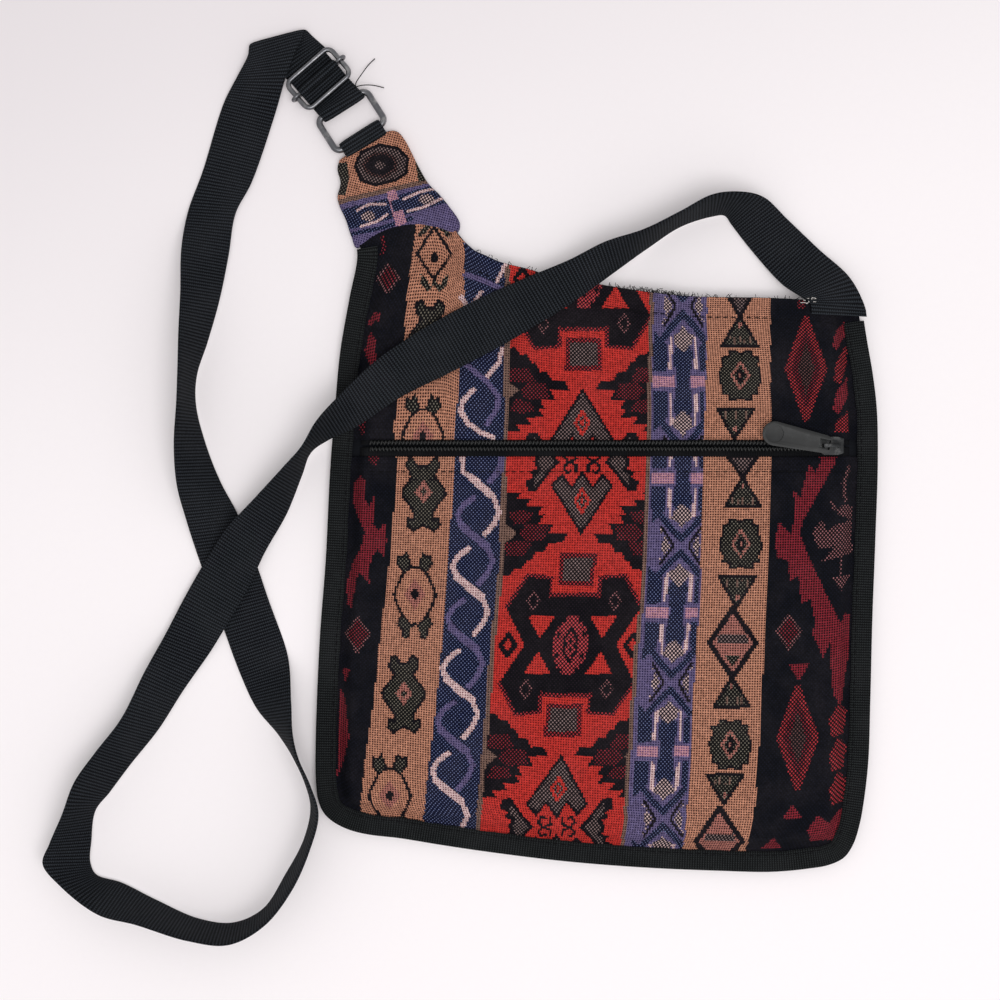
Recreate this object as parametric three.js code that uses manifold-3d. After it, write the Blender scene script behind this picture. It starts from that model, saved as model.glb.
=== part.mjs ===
// A small flat cross-body sling bag in striped woven cloth, lying on its back.
// Millimetres, +Z up out of the table, +Y towards the mouth, origin on the back panel's underside.
import * as THREE from 'three';
import { mergeVertices } from 'three/addons/utils/BufferGeometryUtils.js';
import Module from 'manifold-3d';

const wasm = await Module();
wasm.setup();

// Cloth, tapes and the play between touching pieces
const CLOTH = 0.8;
const LINING = 0.3;
const PLAY = 0.3;
const BINDING_WALL = 0.6;
const BINDING_WIDTH = 8.2;
const BINDING_FOLD = 1.0;

// Heights of the bag above the table
const FRONT_LEVEL = 8.0;
const EDGE_RISE = 5.6;
const CORNER_ROOM = 0.5;
const LOWER_CROWN = 1.6;
const UPPER_CROWN = 0.3;
const POCKET_DEPTH = 0.9;
const CROWN_REACH = 45;
const LOWER_CROWN_REACH = 40;
const UPPER_CROWN_REACH = 20;
const SEAM_FLAT = 2;
const POCKET_CLOSES_Y = 88;
const POCKET_CLOSES_RUN = 14;
const ZIP_HOLLOW_HALF = 6;
const ZIP_HOLLOW_RUN = 12;

// Zip across the front
const ZIP_Y = 57.4;
const ZIP_LEFT = -91.5;
const ZIP_RIGHT = 95.5;
const TAPE_THICKNESS = 0.4;
const TAPE_WIDTH = 9.0;
const TOOTH_PITCH = 1.43;
const TOOTH_DEPTH = 0.45;
const ROW_WIDTH = 1.4;
const ROW_HEIGHT = 1.3;
const UPPER_EDGE_LAP = 2.4;
const LOWER_EDGE_LAP = 4.1;
const TAPE_START = 0.45;

// Slider and its pull
const SLIDER_X = 90.6;
const SLIDER_LENGTH = 10;
const SLIDER_WIDTH = 7.2;
const SLIDER_PLATE = 0.8;
const SLIDER_KEEL = 0.6;
const SHOULDER_SHARE = 0.22;
const NOSE_SHARE = 0.28;
const TAIL_SHARE = 0.4;
const JOIN_DEPTH = 0.1;
const WEB_THICKNESS = 0.5;
const WEB_LENGTH = 5;
const BRIDGE_WIDTH = 1.4;
const BRIDGE_THICKNESS = 0.8;
const BRIDGE_SPAN = 6.8;
const PULL_LENGTH = 20;
const PULL_BIG_RADIUS = 4.8;
const PULL_SMALL_RADIUS = 3.6;
const PULL_THICKNESS = 1.3;
const PULL_BAR = 1.3;
const PULL_EYE_LENGTH = 4.3;
const PULL_EYE_WIDTH = 3.8;
const PULL_DISH_RADIUS = 3.5;
const PULL_DISH_DEPTH = 0.5;
const PULL_TURN = 12;
const CUT_REACH = 2;

// Webbing, ring and slide adjuster at the corner
const WEBBING_WIDTH = 18.6;
const WEBBING_THICKNESS = 1.0;
const STRAP_THICKNESS = 1.4;
const RING_WIRE = 1.3;
const RING_ROOM = 4.4;
const RING_HEIGHT = 15;
const RING_CORNER = 2.6;
const RING_CENTRE = [-99.2, 187.0];
const RING_TURN = 32.5;
const LOOP_TAIL = 11;
const TAIL_THICKNESS = 2.0;
const FRAME_WIRE = 1.0;
const FRAME_ROOM = 4.0;
const FRAME_HEIGHT = 13.9;
const FRAME_CORNER = 2.8;
const FRAME_CENTRE = [-112.15, 203.6];
const FRAME_TURN = 41;
const FRAME_LIFT = 0.4;
const BAR_WIRE = 0.9;
const EYE_RADIUS = 2.2;
const STRAP_END_REACH = 7.8;
const STRAP_END_LIFT = 0.2;
const STRAP_END_BEND = 2;
const RING_APPROACH = 4;
const APPROACH_DROP = 0.1;
const UNDER_BAR_RUN = 1.5;
const STRAP_RIM = 0.5;
const FOLD_SOFTNESS = 0.7;

// Roundness of the curved pieces
const WIRE_SIDES = 8;
const CORNER_STEPS = 5;
const LOOP_STEPS = 22;
const BORE_STEPS = 16;
const BEND_STEPS = 12;
const TOP_SAMPLES = 90;
const LINING_SAMPLES = 40;
const MEETING_PASSES = 12;
const SIDE_THINNING = 4;
const STRAP_LOOKAHEAD = 0.004;

// Places worked out from the sizes above
const backEdge = BINDING_WALL + PLAY;
const liningEdge = backEdge + CLOTH + PLAY;
const frontEdge = liningEdge + LINING + PLAY;
const slotTop = frontEdge + CLOTH + PLAY;
const bindingTop = slotTop + BINDING_WALL;
const sheetInset = BINDING_FOLD + 2 * PLAY;
const riseStart = BINDING_WIDTH + PLAY + CORNER_ROOM;
const tapeTop = FRONT_LEVEL - CLOTH - PLAY;
const tapeBottom = tapeTop - TAPE_THICKNESS;
const keelTop = tapeBottom - PLAY;
const keelBottom = keelTop - SLIDER_KEEL;
const liningUnderZip = keelBottom - PLAY;
const rowBottom = tapeTop + PLAY;
const rowTop = rowBottom + ROW_HEIGHT;
const halfGap = WEB_THICKNESS / 2 + PLAY;
const plateBottom = rowTop + PLAY;
const plateTop = plateBottom + SLIDER_PLATE;
const pullSwing = Math.hypot(PULL_BAR / 2, PULL_THICKNESS / 2);
const hingeHeight = plateTop + PLAY + pullSwing;
const ringHeight = RING_WIRE + PLAY + WEBBING_THICKNESS;
const ringWidth = WEBBING_WIDTH + RING_ROOM;
const frameWidth = WEBBING_WIDTH + FRAME_ROOM;

// Bag's edge, from the horn's left side down, along the bottom and up the right side
const EDGE_POINTS = [
  [-98.8, 144.0], [-98.2, 140.0], [-96.8, 133.6], [-100.0, 116.0], [-103.6, 95.2], [-105.6, 74.0],
  [-107.6, 48.0], [-109.4, 12.0], [-111.8, -20.0], [-113.4, -62.0], [-113.2, -77.0], [-112.2, -84.0],
  [-109.8, -89.0], [-105.6, -92.6], [-99.6, -95.4], [-92.0, -97.2], [-80.0, -98.6], [-64.0, -101.2],
  [-48.0, -103.6], [-16.0, -107.6], [16.0, -110.2], [48.0, -111.6], [68.0, -112.0], [82.0, -110.8],
  [91.0, -109.2], [97.0, -106.2], [100.6, -101.0], [103.2, -92.8], [104.8, -84.0], [106.6, -68.0],
  [107.4, -44.0], [108.2, -12.0], [109.4, 20.0], [110.4, 52.0], [110.0, 72.0], [108.4, 86.0],
  [106.0, 100.0], [104.4, 110.4],
];
const BINDING_START = [-97.2, 135.6];
const BINDING_END = [104.9, 107.4];
const BOTTOM_LEFT = [-109.8, -89.0];
const SIDE_START = -70;
const BOTTOM_RIGHT = [97.0, -106.2];

// Top edge of the front and back cloth, from inside the tab, down the horn and along the mouth
const TOP_POINTS = [
  [-97.6, 142.4], [-86.0, 147.2], [-72.0, 150.4], [-62.6, 150.0], [-58.4, 144.4], [-56.2, 141.0],
  [-54.0, 138.8], [-50.0, 135.2], [-46.0, 133.2], [-40.0, 130.2], [-30.0, 127.6], [-20.0, 124.8],
  [0.0, 121.2], [18.0, 118.4], [36.0, 116.6], [64.0, 116.0], [80.0, 115.2], [92.0, 113.8],
  [103.0, 110.4],
];
// Top edge of the inner cloth that parts the zip pocket from the main room
const LINING_TOP = [[-99.0, 112.0], [-40.0, 113.0], [0.0, 112.6], [36.0, 109.6], [80.0, 108.4], [103.3, 106.0]];

// Tab of folded cloth on the horn's end
const TAB_POINTS = [
  [-104.0, 171.6], [-99.2, 174.8], [-93.6, 178.0], [-88.0, 181.2], [-84.0, 183.2], [-80.8, 182.8],
  [-78.0, 179.6], [-75.2, 174.4], [-72.0, 168.0], [-68.4, 162.0], [-64.0, 157.6], [-60.4, 153.2],
  [-56.0, 146.4], [-56.4, 143.2], [-58.0, 142.0], [-64.0, 144.0], [-72.0, 145.2], [-78.0, 144.8],
  [-84.8, 143.2], [-91.2, 140.0], [-97.2, 136.4], [-99.2, 140.8], [-101.6, 148.0], [-104.0, 153.2],
  [-104.8, 156.8], [-103.6, 162.4], [-104.8, 168.0],
];
const HORN_SLOT_POINTS = [
  [-99.0, 131.2], [-99.4, 144.0], [-86.4, 148.8], [-72.0, 151.8], [-61.6, 151.4], [-57.1, 145.6],
  [-57.1, 140.8], [-52.0, 137.6], [-52.0, 131.2],
];
const TAB_FOOT = [[-97.2, 136.4], [-84.8, 143.2], [-72.0, 145.2], [-56.4, 143.2]];
const TAB_FLAT = 7;
const TAB_RISE = 16;

// The strap's two edges, hand placed along its way from the adjuster to the right corner
const STRAP_EDGES = [
  [[-109.6, 216.6, 0.9], [-124.6, 203.5, 0.9]],
  [[-114.8, 221.2, 0.9], [-133.6, 212.0, 0.9]],
  [[-117.6, 223.4, 2.2], [-139.6, 217.6, 2.2]],
  [[-119.2, 219.2, 3.6], [-140.4, 212.8, 3.6]],
  [[-124.8, 206.0, 2.8], [-144.8, 204.8, 2.4]],
  [[-130.0, 189.6, 1.0], [-150.4, 194.4, 1.0]],
  [[-139.2, 162.8, 1.0], [-158.8, 167.2, 1.0]],
  [[-145.6, 150.4, 1.0], [-164.4, 151.6, 1.6]],
  [[-148.4, 133.6, 1.0], [-166.0, 136.0, 8.0]],
  [[-152.0, 116.0, 1.0], [-165.2, 116.8, 15.0]],
  [[-156.8, 99.2, 1.0], [-165.2, 100.8, 18.8]],
  [[-161.2, 85.6, 1.0], [-165.2, 87.2, 20.3]],
  [[-161.6, 74.4, 1.0], [-165.6, 75.2, 20.4]],
  [[-157.6, 58.4, 1.0], [-167.2, 57.6, 17.5]],
  [[-151.6, 43.2, 1.0], [-167.2, 42.4, 12.0]],
  [[-144.8, 30.4, 1.0], [-164.8, 28.0, 4.0]],
  [[-139.2, 16.0, 1.0], [-160.4, 12.8, 1.0]],
  [[-132.4, -4.0, 1.0], [-152.4, -9.6, 1.0]],
  [[-124.8, -26.0, 1.0], [-144.0, -32.8, 1.0]],
  [[-122.0, -43.2, 13.0], [-137.2, -47.2, 1.0]],
  [[-120.8, -56.0, 18.5], [-128.4, -57.6, 1.0]],
  [[-118.4, -65.6, 20.2], [-122.4, -66.4, 1.0]],
  [[-113.8, -76.0, 20.4], [-117.6, -76.8, 1.0]],
  [[-110.8, -86.4, 20.4], [-115.4, -86.6, 1.0]],
  [[-114.4, -100.8, 20.4], [-118.0, -99.2, 1.0]],
  [[-121.2, -116.0, 20.4], [-125.6, -113.6, 1.0]],
  [[-132.0, -129.6, 20.4], [-134.4, -127.2, 1.0]],
  [[-145.6, -136.8, 20.4], [-146.4, -132.8, 1.0]],
  [[-161.6, -135.2, 20.4], [-160.4, -131.2, 1.0]],
  [[-182.0, -129.2, 19.3], [-177.6, -123.6, 1.0]],
  [[-196.8, -126.0, 17.0], [-191.2, -116.8, 1.0]],
  [[-212.8, -116.0, 12.0], [-201.2, -113.6, 1.0]],
  [[-220.0, -107.2, 11.5], [-203.6, -108.8, 1.0]],
  [[-217.2, -99.2, 12.0], [-203.2, -100.0, 1.0]],
  [[-211.2, -87.2, 16.5], [-201.6, -88.0, 1.0]],
  [[-206.4, -74.4, 16.5], [-196.0, -80.8, 1.0]],
  [[-198.8, -63.2, 14.5], [-187.6, -69.6, 1.0]],
  [[-188.8, -50.0, 13.5], [-176.4, -55.6, 1.0]],
  [[-180.4, -32.0, 9.5], [-166.4, -40.0, 1.2]],
  [[-172.8, -16.8, 4.0], [-155.2, -24.0, 1.6]],
  [[-165.6, -2.8, 3.4], [-148.0, -12.4, 3.4]],
  [[-157.6, 11.2, 3.4], [-140.4, 0.8, 3.4]],
  [[-147.6, 25.2, 9.0], [-133.6, 15.2, 2.8]],
  [[-135.2, 37.6, 15.5], [-125.2, 30.4, 1.4]],
  [[-124.0, 49.2, 19.0], [-119.2, 45.6, 1.2]],
  [[-117.2, 56.4, 21.0], [-115.6, 54.8, 2.6]],
  [[-111.2, 66.4, 23.0], [-107.6, 60.0, 6.8]],
  [[-102.8, 76.4, 19.8], [-96.8, 64.8, 8.4]],
  [[-89.6, 89.6, 16.0], [-79.2, 76.4, 10.4]],
  [[-72.0, 102.4, 11.5], [-61.6, 85.2, 10.6]],
  [[-51.2, 114.0, 10.4], [-40.8, 96.0, 10.6]],
  [[-30.0, 123.6, 10.2], [-20.4, 108.0, 10.4]],
  [[-13.6, 130.0, 13.0], [-6.4, 117.2, 10.4]],
  [[1.2, 136.8, 18.0], [5.6, 126.4, 6.5]],
  [[16.0, 141.2, 20.4], [18.8, 136.4, 2.0]],
  [[30.0, 148.0, 20.6], [32.0, 145.2, 1.0]],
  [[42.8, 154.8, 19.8], [44.4, 149.2, 1.0]],
  [[54.4, 156.4, 16.5], [49.6, 149.6, 1.0]],
  [[64.0, 155.2, 11.0], [52.4, 146.0, 1.0]],
  [[74.4, 147.6, 4.0], [59.2, 137.2, 1.0]],
  [[86.8, 136.0, 3.2], [72.0, 122.0, 3.8]],
  [[98.8, 124.0, 6.4], [79.0, 116.0, 9.3]],
  [[104.4, 112.4, 7.8], [82.4, 113.6, 9.4]],
];
const STRAP_STEPS = 78;

const smooth = (t) => {
  const c = Math.min(1, Math.max(0, t));
  return c * c * (3 - 2 * c);
};
const radians = THREE.MathUtils.degToRad;

// A smooth run of flat points through a hand list
function flatCurve(points, count) {
  const knots = points.map(([x, y]) => new THREE.Vector3(x, y, 0));
  const curve = new THREE.CatmullRomCurve3(knots, false, 'centripetal');
  return curve.getSpacedPoints(count).map((p) => [p.x, p.y]);
}

const EDGE_SAMPLES = 210;
const edgeLine = flatCurve(EDGE_POINTS, EDGE_SAMPLES);

// The edge moved inwards by a distance, point for point
function insetEdge(distance) {
  return edgeLine.map((p, i) => {
    const before = edgeLine[Math.max(0, i - 1)];
    const after = edgeLine[Math.min(edgeLine.length - 1, i + 1)];
    const length = Math.hypot(after[0] - before[0], after[1] - before[1]);
    const inward = [-(after[1] - before[1]) / length, (after[0] - before[0]) / length];
    return [p[0] + inward[0] * distance, p[1] + inward[1] * distance];
  });
}

// Nearest index of a line's point to a place
function nearest(line, [x, y]) {
  const gaps = line.map((p) => Math.hypot(p[0] - x, p[1] - y));
  return gaps.indexOf(Math.min(...gaps));
}

function distanceToLine(x, y, line) {
  let best = Infinity;
  for (let i = 0; i + 1 < line.length; i += 1) {
    const [ax, ay] = line[i];
    const dx = line[i + 1][0] - ax;
    const dy = line[i + 1][1] - ay;
    const t = Math.min(1, Math.max(0, ((x - ax) * dx + (y - ay) * dy) / (dx * dx + dy * dy)));
    best = Math.min(best, Math.hypot(x - ax - t * dx, y - ay - t * dy));
  }
  return best;
}

// Reads a line as a function of one coordinate, level beyond its ends
function lineReader(line, from, to) {
  const sorted = [...line].sort((p, q) => p[from] - q[from]);
  return (value) => {
    const k = sorted.findIndex((p) => p[from] >= value);
    if (k === 0) return sorted[0][to];
    if (k < 0) return sorted[sorted.length - 1][to];
    const [a, b] = [sorted[k - 1], sorted[k]];
    return a[to] + ((value - a[from]) / (b[from] - a[from] || 1)) * (b[to] - a[to]);
  };
}

const firstCorner = nearest(edgeLine, BOTTOM_LEFT);
const secondCorner = nearest(edgeLine, BOTTOM_RIGHT);
const xLeft = lineReader(edgeLine.slice(0, firstCorner + 1), 1, 0);
const xRight = lineReader(edgeLine.slice(secondCorner), 1, 0);
const yBottom = lineReader(edgeLine.slice(firstCorner, secondCorner + 1), 0, 1);
const yTop = lineReader(flatCurve(TOP_POINTS, TOP_SAMPLES), 0, 1);
const yLiningTop = lineReader(flatCurve(LINING_TOP, LINING_SAMPLES), 0, 1);

// How far the cloth has risen from its sewn edge, 0 in the binding and 1 on the flat front
function risen(x, y) {
  const gaps = [x - xLeft(y), xRight(y) - x, y - yBottom(x)];
  const fromEdges = gaps.map((gap) => smooth((gap - riseStart) / EDGE_RISE));
  const fromTab = smooth((distanceToLine(x, y, TAB_FOOT) - TAB_FLAT) / TAB_RISE);
  return y > TAB_FOOT[0][1] ? 0 : fromEdges[0] * fromEdges[1] * fromEdges[2] * fromTab;
}

function crown(x, y) {
  const gaps = [x - xLeft(y), xRight(y) - x, y - yBottom(x)];
  const inner = smooth((Math.min(...gaps) - riseStart) / CROWN_REACH);
  const below = smooth((ZIP_Y - LOWER_EDGE_LAP - SEAM_FLAT - y) / LOWER_CROWN_REACH);
  const above = smooth((y - ZIP_Y - UPPER_EDGE_LAP - SEAM_FLAT) / UPPER_CROWN_REACH);
  return inner * (LOWER_CROWN * below + UPPER_CROWN * above);
}

const frontTop = (x, y) => frontEdge + CLOTH
  + (FRONT_LEVEL - frontEdge - CLOTH + crown(x, y)) * risen(x, y);
const backTop = (x, y) => backEdge * (1 - risen(x, y)) + CLOTH;

function liningHeight(x, y) {
  const underFront = FRONT_LEVEL + crown(x, y) - CLOTH;
  const nearMouth = smooth((y - POCKET_CLOSES_Y) / POCKET_CLOSES_RUN);
  const level = underFront - POCKET_DEPTH + (POCKET_DEPTH - PLAY) * nearMouth;
  const nearZip = 1 - smooth((Math.abs(y - ZIP_Y) - ZIP_HOLLOW_HALF) / ZIP_HOLLOW_RUN);
  const above = level + (liningUnderZip - level) * nearZip;
  const seated = liningEdge + LINING;
  return seated + (above - seated) * risen(x, y);
}

// Grid lines that keep an even distance from the sewn edges, then share out the middle
const sideOffsets = [sheetInset, riseStart, ...[1, 2, 3].map((k) => riseStart + (EDGE_RISE * k) / 3)];
const innerOffset = riseStart + EDGE_RISE;
// Shares of the middle: columns close up under the tab, rows close up by the tab and the zip
const MIDDLE_COLUMNS = [0.06, 0.125, 0.158, 0.19, 0.225, 0.27, 0.35, 0.45, 0.55, 0.65, 0.76, 0.88];
const LOWER_SHARES = [0, 0.06, 0.16, 0.28, 0.42, 0.56, 0.7, 0.82, 0.92, 1];
const UPPER_ROWS = 9;
const BACK_SHARES = [0, 0.1, 0.2, 0.3, 0.4, 0.5, 0.6, 0.69, 0.77, 0.83, 0.88, 0.915, 0.945, 0.975, 1];
const LINING_SHARES = [0, 0.12, 0.3, 0.5, 0.65, 0.68, 0.7, 0.73, 0.76, 0.79, 0.82, 0.86, 0.93, 1];

function columnLines() {
  const share = (t) => (y) => (1 - t) * (xLeft(y) + innerOffset) + t * (xRight(y) - innerOffset);
  return [
    ...sideOffsets.map((offset) => (y) => xLeft(y) + offset),
    ...MIDDLE_COLUMNS.map(share),
    ...[...sideOffsets].reverse().map((offset) => (y) => xRight(y) - offset),
  ];
}

// Row lines from the bottom edge, or from a seam, up to a line
function rowLines(start, top, shares) {
  const fromBottom = start === null;
  const first = fromBottom ? (x) => yBottom(x) + innerOffset : () => start;
  const share = (t) => (x) => first(x) + t * (top(x) - first(x));
  const edges = fromBottom ? sideOffsets.slice(0, -1).map((offset) => (x) => yBottom(x) + offset) : [];
  return [...edges, ...shares.map(share)];
}

function evenShares(count) {
  return Array.from({ length: count + 1 }, (_, k) => k / count);
}

// Meeting points of the row and column lines
function plan(rows) {
  return rows.map((row) => columnLines().map((column) => {
    let y = row(0);
    let x = column(y);
    for (let k = 0; k < MEETING_PASSES; k += 1) {
      y = row(x);
      x = column(y);
    }
    return [x, y];
  }));
}

function bufferFrom(points, faces) {
  const geometry = new THREE.BufferGeometry();
  geometry.setAttribute('position', new THREE.Float32BufferAttribute(points.flat(), 3));
  geometry.setIndex(faces.flat());
  geometry.computeVertexNormals();
  return geometry;
}

// A closed sheet of even thickness under a grid of top points
function sheet(grid, height, thickness) {
  const rows = grid.length;
  const columns = grid[0].length;
  const count = rows * columns;
  const upper = grid.flatMap((row) => row.map(([x, y]) => [x, y, height(x, y)]));
  const points = [...upper, ...upper.map(([x, y, z]) => [x, y, z - thickness])];
  const faces = [];
  for (let j = 0; j + 1 < rows; j += 1) {
    for (let i = 0; i + 1 < columns; i += 1) {
      const a = j * columns + i;
      const d = a + columns;
      faces.push([a, a + 1, d + 1], [a, d + 1, d]);
      faces.push([count + a, count + d + 1, count + a + 1], [count + a, count + d, count + d + 1]);
    }
  }
  const rim = [];
  for (let i = 0; i + 1 < columns; i += 1) rim.push(i);
  for (let j = 0; j + 1 < rows; j += 1) rim.push(j * columns + columns - 1);
  for (let i = columns - 1; i > 0; i -= 1) rim.push((rows - 1) * columns + i);
  for (let j = rows - 1; j > 0; j -= 1) rim.push(j * columns);
  rim.forEach((a, k) => {
    const b = rim[(k + 1) % rim.length];
    faces.push([count + a, count + b, b], [count + a, b, a]);
  });
  return bufferFrom(points, faces);
}

// A body lofted through rings of equal length; each ring runs clockwise seen from its start
function loft(rings, closed, capShape) {
  const size = rings[0].length;
  const faces = [];
  const last = closed ? rings.length : rings.length - 1;
  for (let k = 0; k < last; k += 1) {
    const near = k * size;
    const far = ((k + 1) % rings.length) * size;
    for (let i = 0; i < size; i += 1) {
      const j = (i + 1) % size;
      faces.push([near + i, far + i, far + j], [near + i, far + j, near + j]);
    }
  }
  if (!closed) {
    const outline = capShape.map(([x, y]) => new THREE.Vector2(x, y));
    const cap = THREE.ShapeUtils.triangulateShape(outline, []);
    const end = (rings.length - 1) * size;
    const clockwise = THREE.ShapeUtils.isClockWise(outline);
    cap.forEach(([a, b, c]) => {
      const [p, q] = clockwise ? [c, b] : [b, c];
      faces.push([a, p, q], [end + a, end + q, end + p]);
    });
  }
  const geometry = bufferFrom(rings.flat(), faces);
  return outward(geometry);
}

// Turns every face round if the body came out inside out
function outward(geometry) {
  const p = geometry.getAttribute('position');
  const index = geometry.getIndex().array;
  let volume = 0;
  const corners = [new THREE.Vector3(), new THREE.Vector3(), new THREE.Vector3()];
  for (let i = 0; i < index.length; i += 3) {
    corners.forEach((corner, k) => corner.fromBufferAttribute(p, index[i + k]));
    volume += corners[0].dot(corners[1].cross(corners[2]));
  }
  if (volume < 0) {
    for (let i = 0; i < index.length; i += 3) [index[i], index[i + 1]] = [index[i + 1], index[i]];
  }
  geometry.computeVertexNormals();
  return geometry;
}

function toSolid(geometry) {
  const bare = geometry.clone();
  bare.deleteAttribute('normal');
  bare.deleteAttribute('uv');
  const merged = mergeVertices(bare, 1e-4);
  const vertProperties = new Float32Array(merged.getAttribute('position').array);
  const triVerts = new Uint32Array(merged.getIndex().array);
  return new wasm.Manifold(new wasm.Mesh({ numProp: 3, vertProperties, triVerts }));
}

function fromSolid(solid) {
  const mesh = solid.getMesh();
  const geometry = new THREE.BufferGeometry();
  geometry.setAttribute('position', new THREE.BufferAttribute(new Float32Array(mesh.vertProperties), 3));
  geometry.setIndex(new THREE.BufferAttribute(new Uint32Array(mesh.triVerts), 1));
  geometry.computeVertexNormals();
  return geometry;
}

function slab(points, low, high) {
  const shape = new THREE.Shape(points.map(([x, y]) => new THREE.Vector2(x, y)));
  const geometry = new THREE.ExtrudeGeometry(shape, { depth: high - low, bevelEnabled: false });
  return geometry.translate(0, 0, low);
}

function block(x0, x1, y0, y1, z0, z1) {
  const geometry = new THREE.BoxGeometry(x1 - x0, y1 - y0, z1 - z0);
  return geometry.translate((x0 + x1) / 2, (y0 + y1) / 2, (z0 + z1) / 2);
}

// A local frame turned in the plane: x along the bars, y towards the strap
function turned(geometry, [x, y], degrees, height = 0) {
  return geometry.rotateZ(radians(degrees)).translate(x, y, height);
}

// A bent wire rectangle with round corners, as one closed loop
function wireFrame(width, height, corner, radius) {
  const centres = [
    [width / 2 - corner, height / 2 - corner, 0], [-width / 2 + corner, height / 2 - corner, 90],
    [-width / 2 + corner, -height / 2 + corner, 180], [width / 2 - corner, -height / 2 + corner, 270],
  ];
  const rings = [];
  centres.forEach(([cx, cy, start]) => {
    for (let k = 0; k <= CORNER_STEPS; k += 1) {
      const angle = radians(start + (k * 90) / CORNER_STEPS);
      const ring = [];
      for (let i = 0; i < WIRE_SIDES; i += 1) {
        const around = (i / WIRE_SIDES) * 2 * Math.PI;
        const reach = corner + radius * Math.cos(around);
        ring.push([cx + reach * Math.cos(angle), cy + reach * Math.sin(angle), radius * Math.sin(around)]);
      }
      rings.push(ring);
    }
  });
  return loft(rings, true);
}

// The outline of a path drawn with an even thickness
function thickPath(path, half) {
  const sides = [[], []];
  path.forEach((p, i) => {
    const before = path[Math.max(0, i - 1)];
    const after = path[Math.min(path.length - 1, i + 1)];
    const length = Math.hypot(after[0] - before[0], after[1] - before[1]);
    const nx = -(after[1] - before[1]) / length;
    const nz = (after[0] - before[0]) / length;
    sides[0].push([p[0] + nx * half, p[1] + nz * half]);
    sides[1].push([p[0] - nx * half, p[1] - nz * half]);
  });
  return [...sides[0], ...sides[1].reverse()];
}

function arcPoints(cx, cy, radius, from, to, count) {
  const points = [];
  for (let i = 0; i <= count; i += 1) {
    const angle = radians(from + ((to - from) * i) / count);
    points.push([cx + radius * Math.cos(angle), cy + radius * Math.sin(angle)]);
  }
  return points;
}

// A full round of evenly spaced points, anticlockwise
function circlePoints(cx, cy, radius, count) {
  return arcPoints(cx, cy, radius, 0, 360 - 360 / count, count - 1);
}

const bag = new THREE.Group();

function add(name, geometry, colour, roughness, metalness = 0) {
  const material = new THREE.MeshStandardMaterial({ color: colour, roughness, metalness });
  const mesh = new THREE.Mesh(geometry, material);
  mesh.name = name;
  bag.add(mesh);
}

// Cloth panels
const lowerRows = rowLines(null, () => ZIP_Y - LOWER_EDGE_LAP, LOWER_SHARES);
const upperRows = rowLines(ZIP_Y + UPPER_EDGE_LAP, yTop, evenShares(UPPER_ROWS));
const backRows = rowLines(null, yTop, BACK_SHARES);
const liningRows = rowLines(null, yLiningTop, LINING_SHARES);
add('front_lower_panel', sheet(plan(lowerRows), frontTop, CLOTH), 0x9e4038, 0.9);
add('front_upper_panel', sheet(plan(upperRows), frontTop, CLOTH), 0x9e4038, 0.9);
add('back_panel', sheet(plan(backRows), backTop, CLOTH), 0x8a3d38, 0.9);
add('pocket_lining', sheet(plan(liningRows), liningHeight, LINING), 0x23262b, 0.95);

// Ribbed tape folded over the sewn edge
function bindingSection() {
  const w = BINDING_WIDTH;
  const soft = BINDING_FOLD * FOLD_SOFTNESS;
  return [
    [w, 0], [w, BINDING_WALL], [BINDING_FOLD, BINDING_WALL], [BINDING_FOLD, slotTop], [w, slotTop],
    [w, bindingTop], [soft, bindingTop], [0, bindingTop - soft], [0, soft], [soft, 0],
  ];
}

function bindingBody() {
  const section = bindingSection();
  const from = nearest(edgeLine, BINDING_START);
  const to = nearest(edgeLine, BINDING_END);
  const offsets = section.map(([n]) => insetEdge(n));
  const rings = [];
  for (let i = from; i <= to; i += 1) {
    const onSide = edgeLine[i][1] > SIDE_START;
    if (i === from || i === to || !onSide || i % SIDE_THINNING === 0) {
      rings.push(section.map(([, z], k) => [...offsets[k][i], z]));
    }
  }
  return loft(rings, false, section);
}
add('edge_binding', bindingBody(), 0x2a2f31, 0.85);

// Zip tapes and rows of teeth
function tape(side) {
  const near = ZIP_Y + side * halfGap;
  const far = ZIP_Y + side * (halfGap + TAPE_WIDTH);
  const ends = side > 0 ? [near, far] : [far, near];
  const offsets = [riseStart + EDGE_RISE * TAPE_START, ...sideOffsets.slice(3)];
  const grid = ends.map((y) => [
    ...offsets.map((offset) => [xLeft(y) + offset, y]), [0, y],
    ...[...offsets].reverse().map((offset) => [xRight(y) - offset, y]),
  ]);
  const height = (x, y) => frontEdge + (FRONT_LEVEL - frontEdge - CLOTH) * risen(x, y) - PLAY;
  return sheet(grid, height, TAPE_THICKNESS);
}

function teethRow(side) {
  const count = Math.floor((ZIP_RIGHT - ZIP_LEFT) / TOOTH_PITCH);
  const inner = halfGap;
  const outer = halfGap + ROW_WIDTH;
  const points = [[ZIP_LEFT, side * outer], [ZIP_LEFT + count * TOOTH_PITCH, side * outer]];
  for (let k = count; k >= 0; k -= 1) {
    const x = ZIP_LEFT + k * TOOTH_PITCH;
    points.push([x, side * (inner + TOOTH_DEPTH)]);
    if (k > 0) points.push([x - TOOTH_PITCH / 2, side * inner]);
  }
  return slab(points, rowBottom, rowTop).translate(0, ZIP_Y, 0);
}
add('zipper_tape_upper', tape(1), 0x17191c, 0.9);
add('zipper_tape_lower', tape(-1), 0x17191c, 0.9);
add('zipper_teeth_upper', teethRow(1), 0x121315, 0.45);
add('zipper_teeth_lower', teethRow(-1), 0x121315, 0.45);

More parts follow.
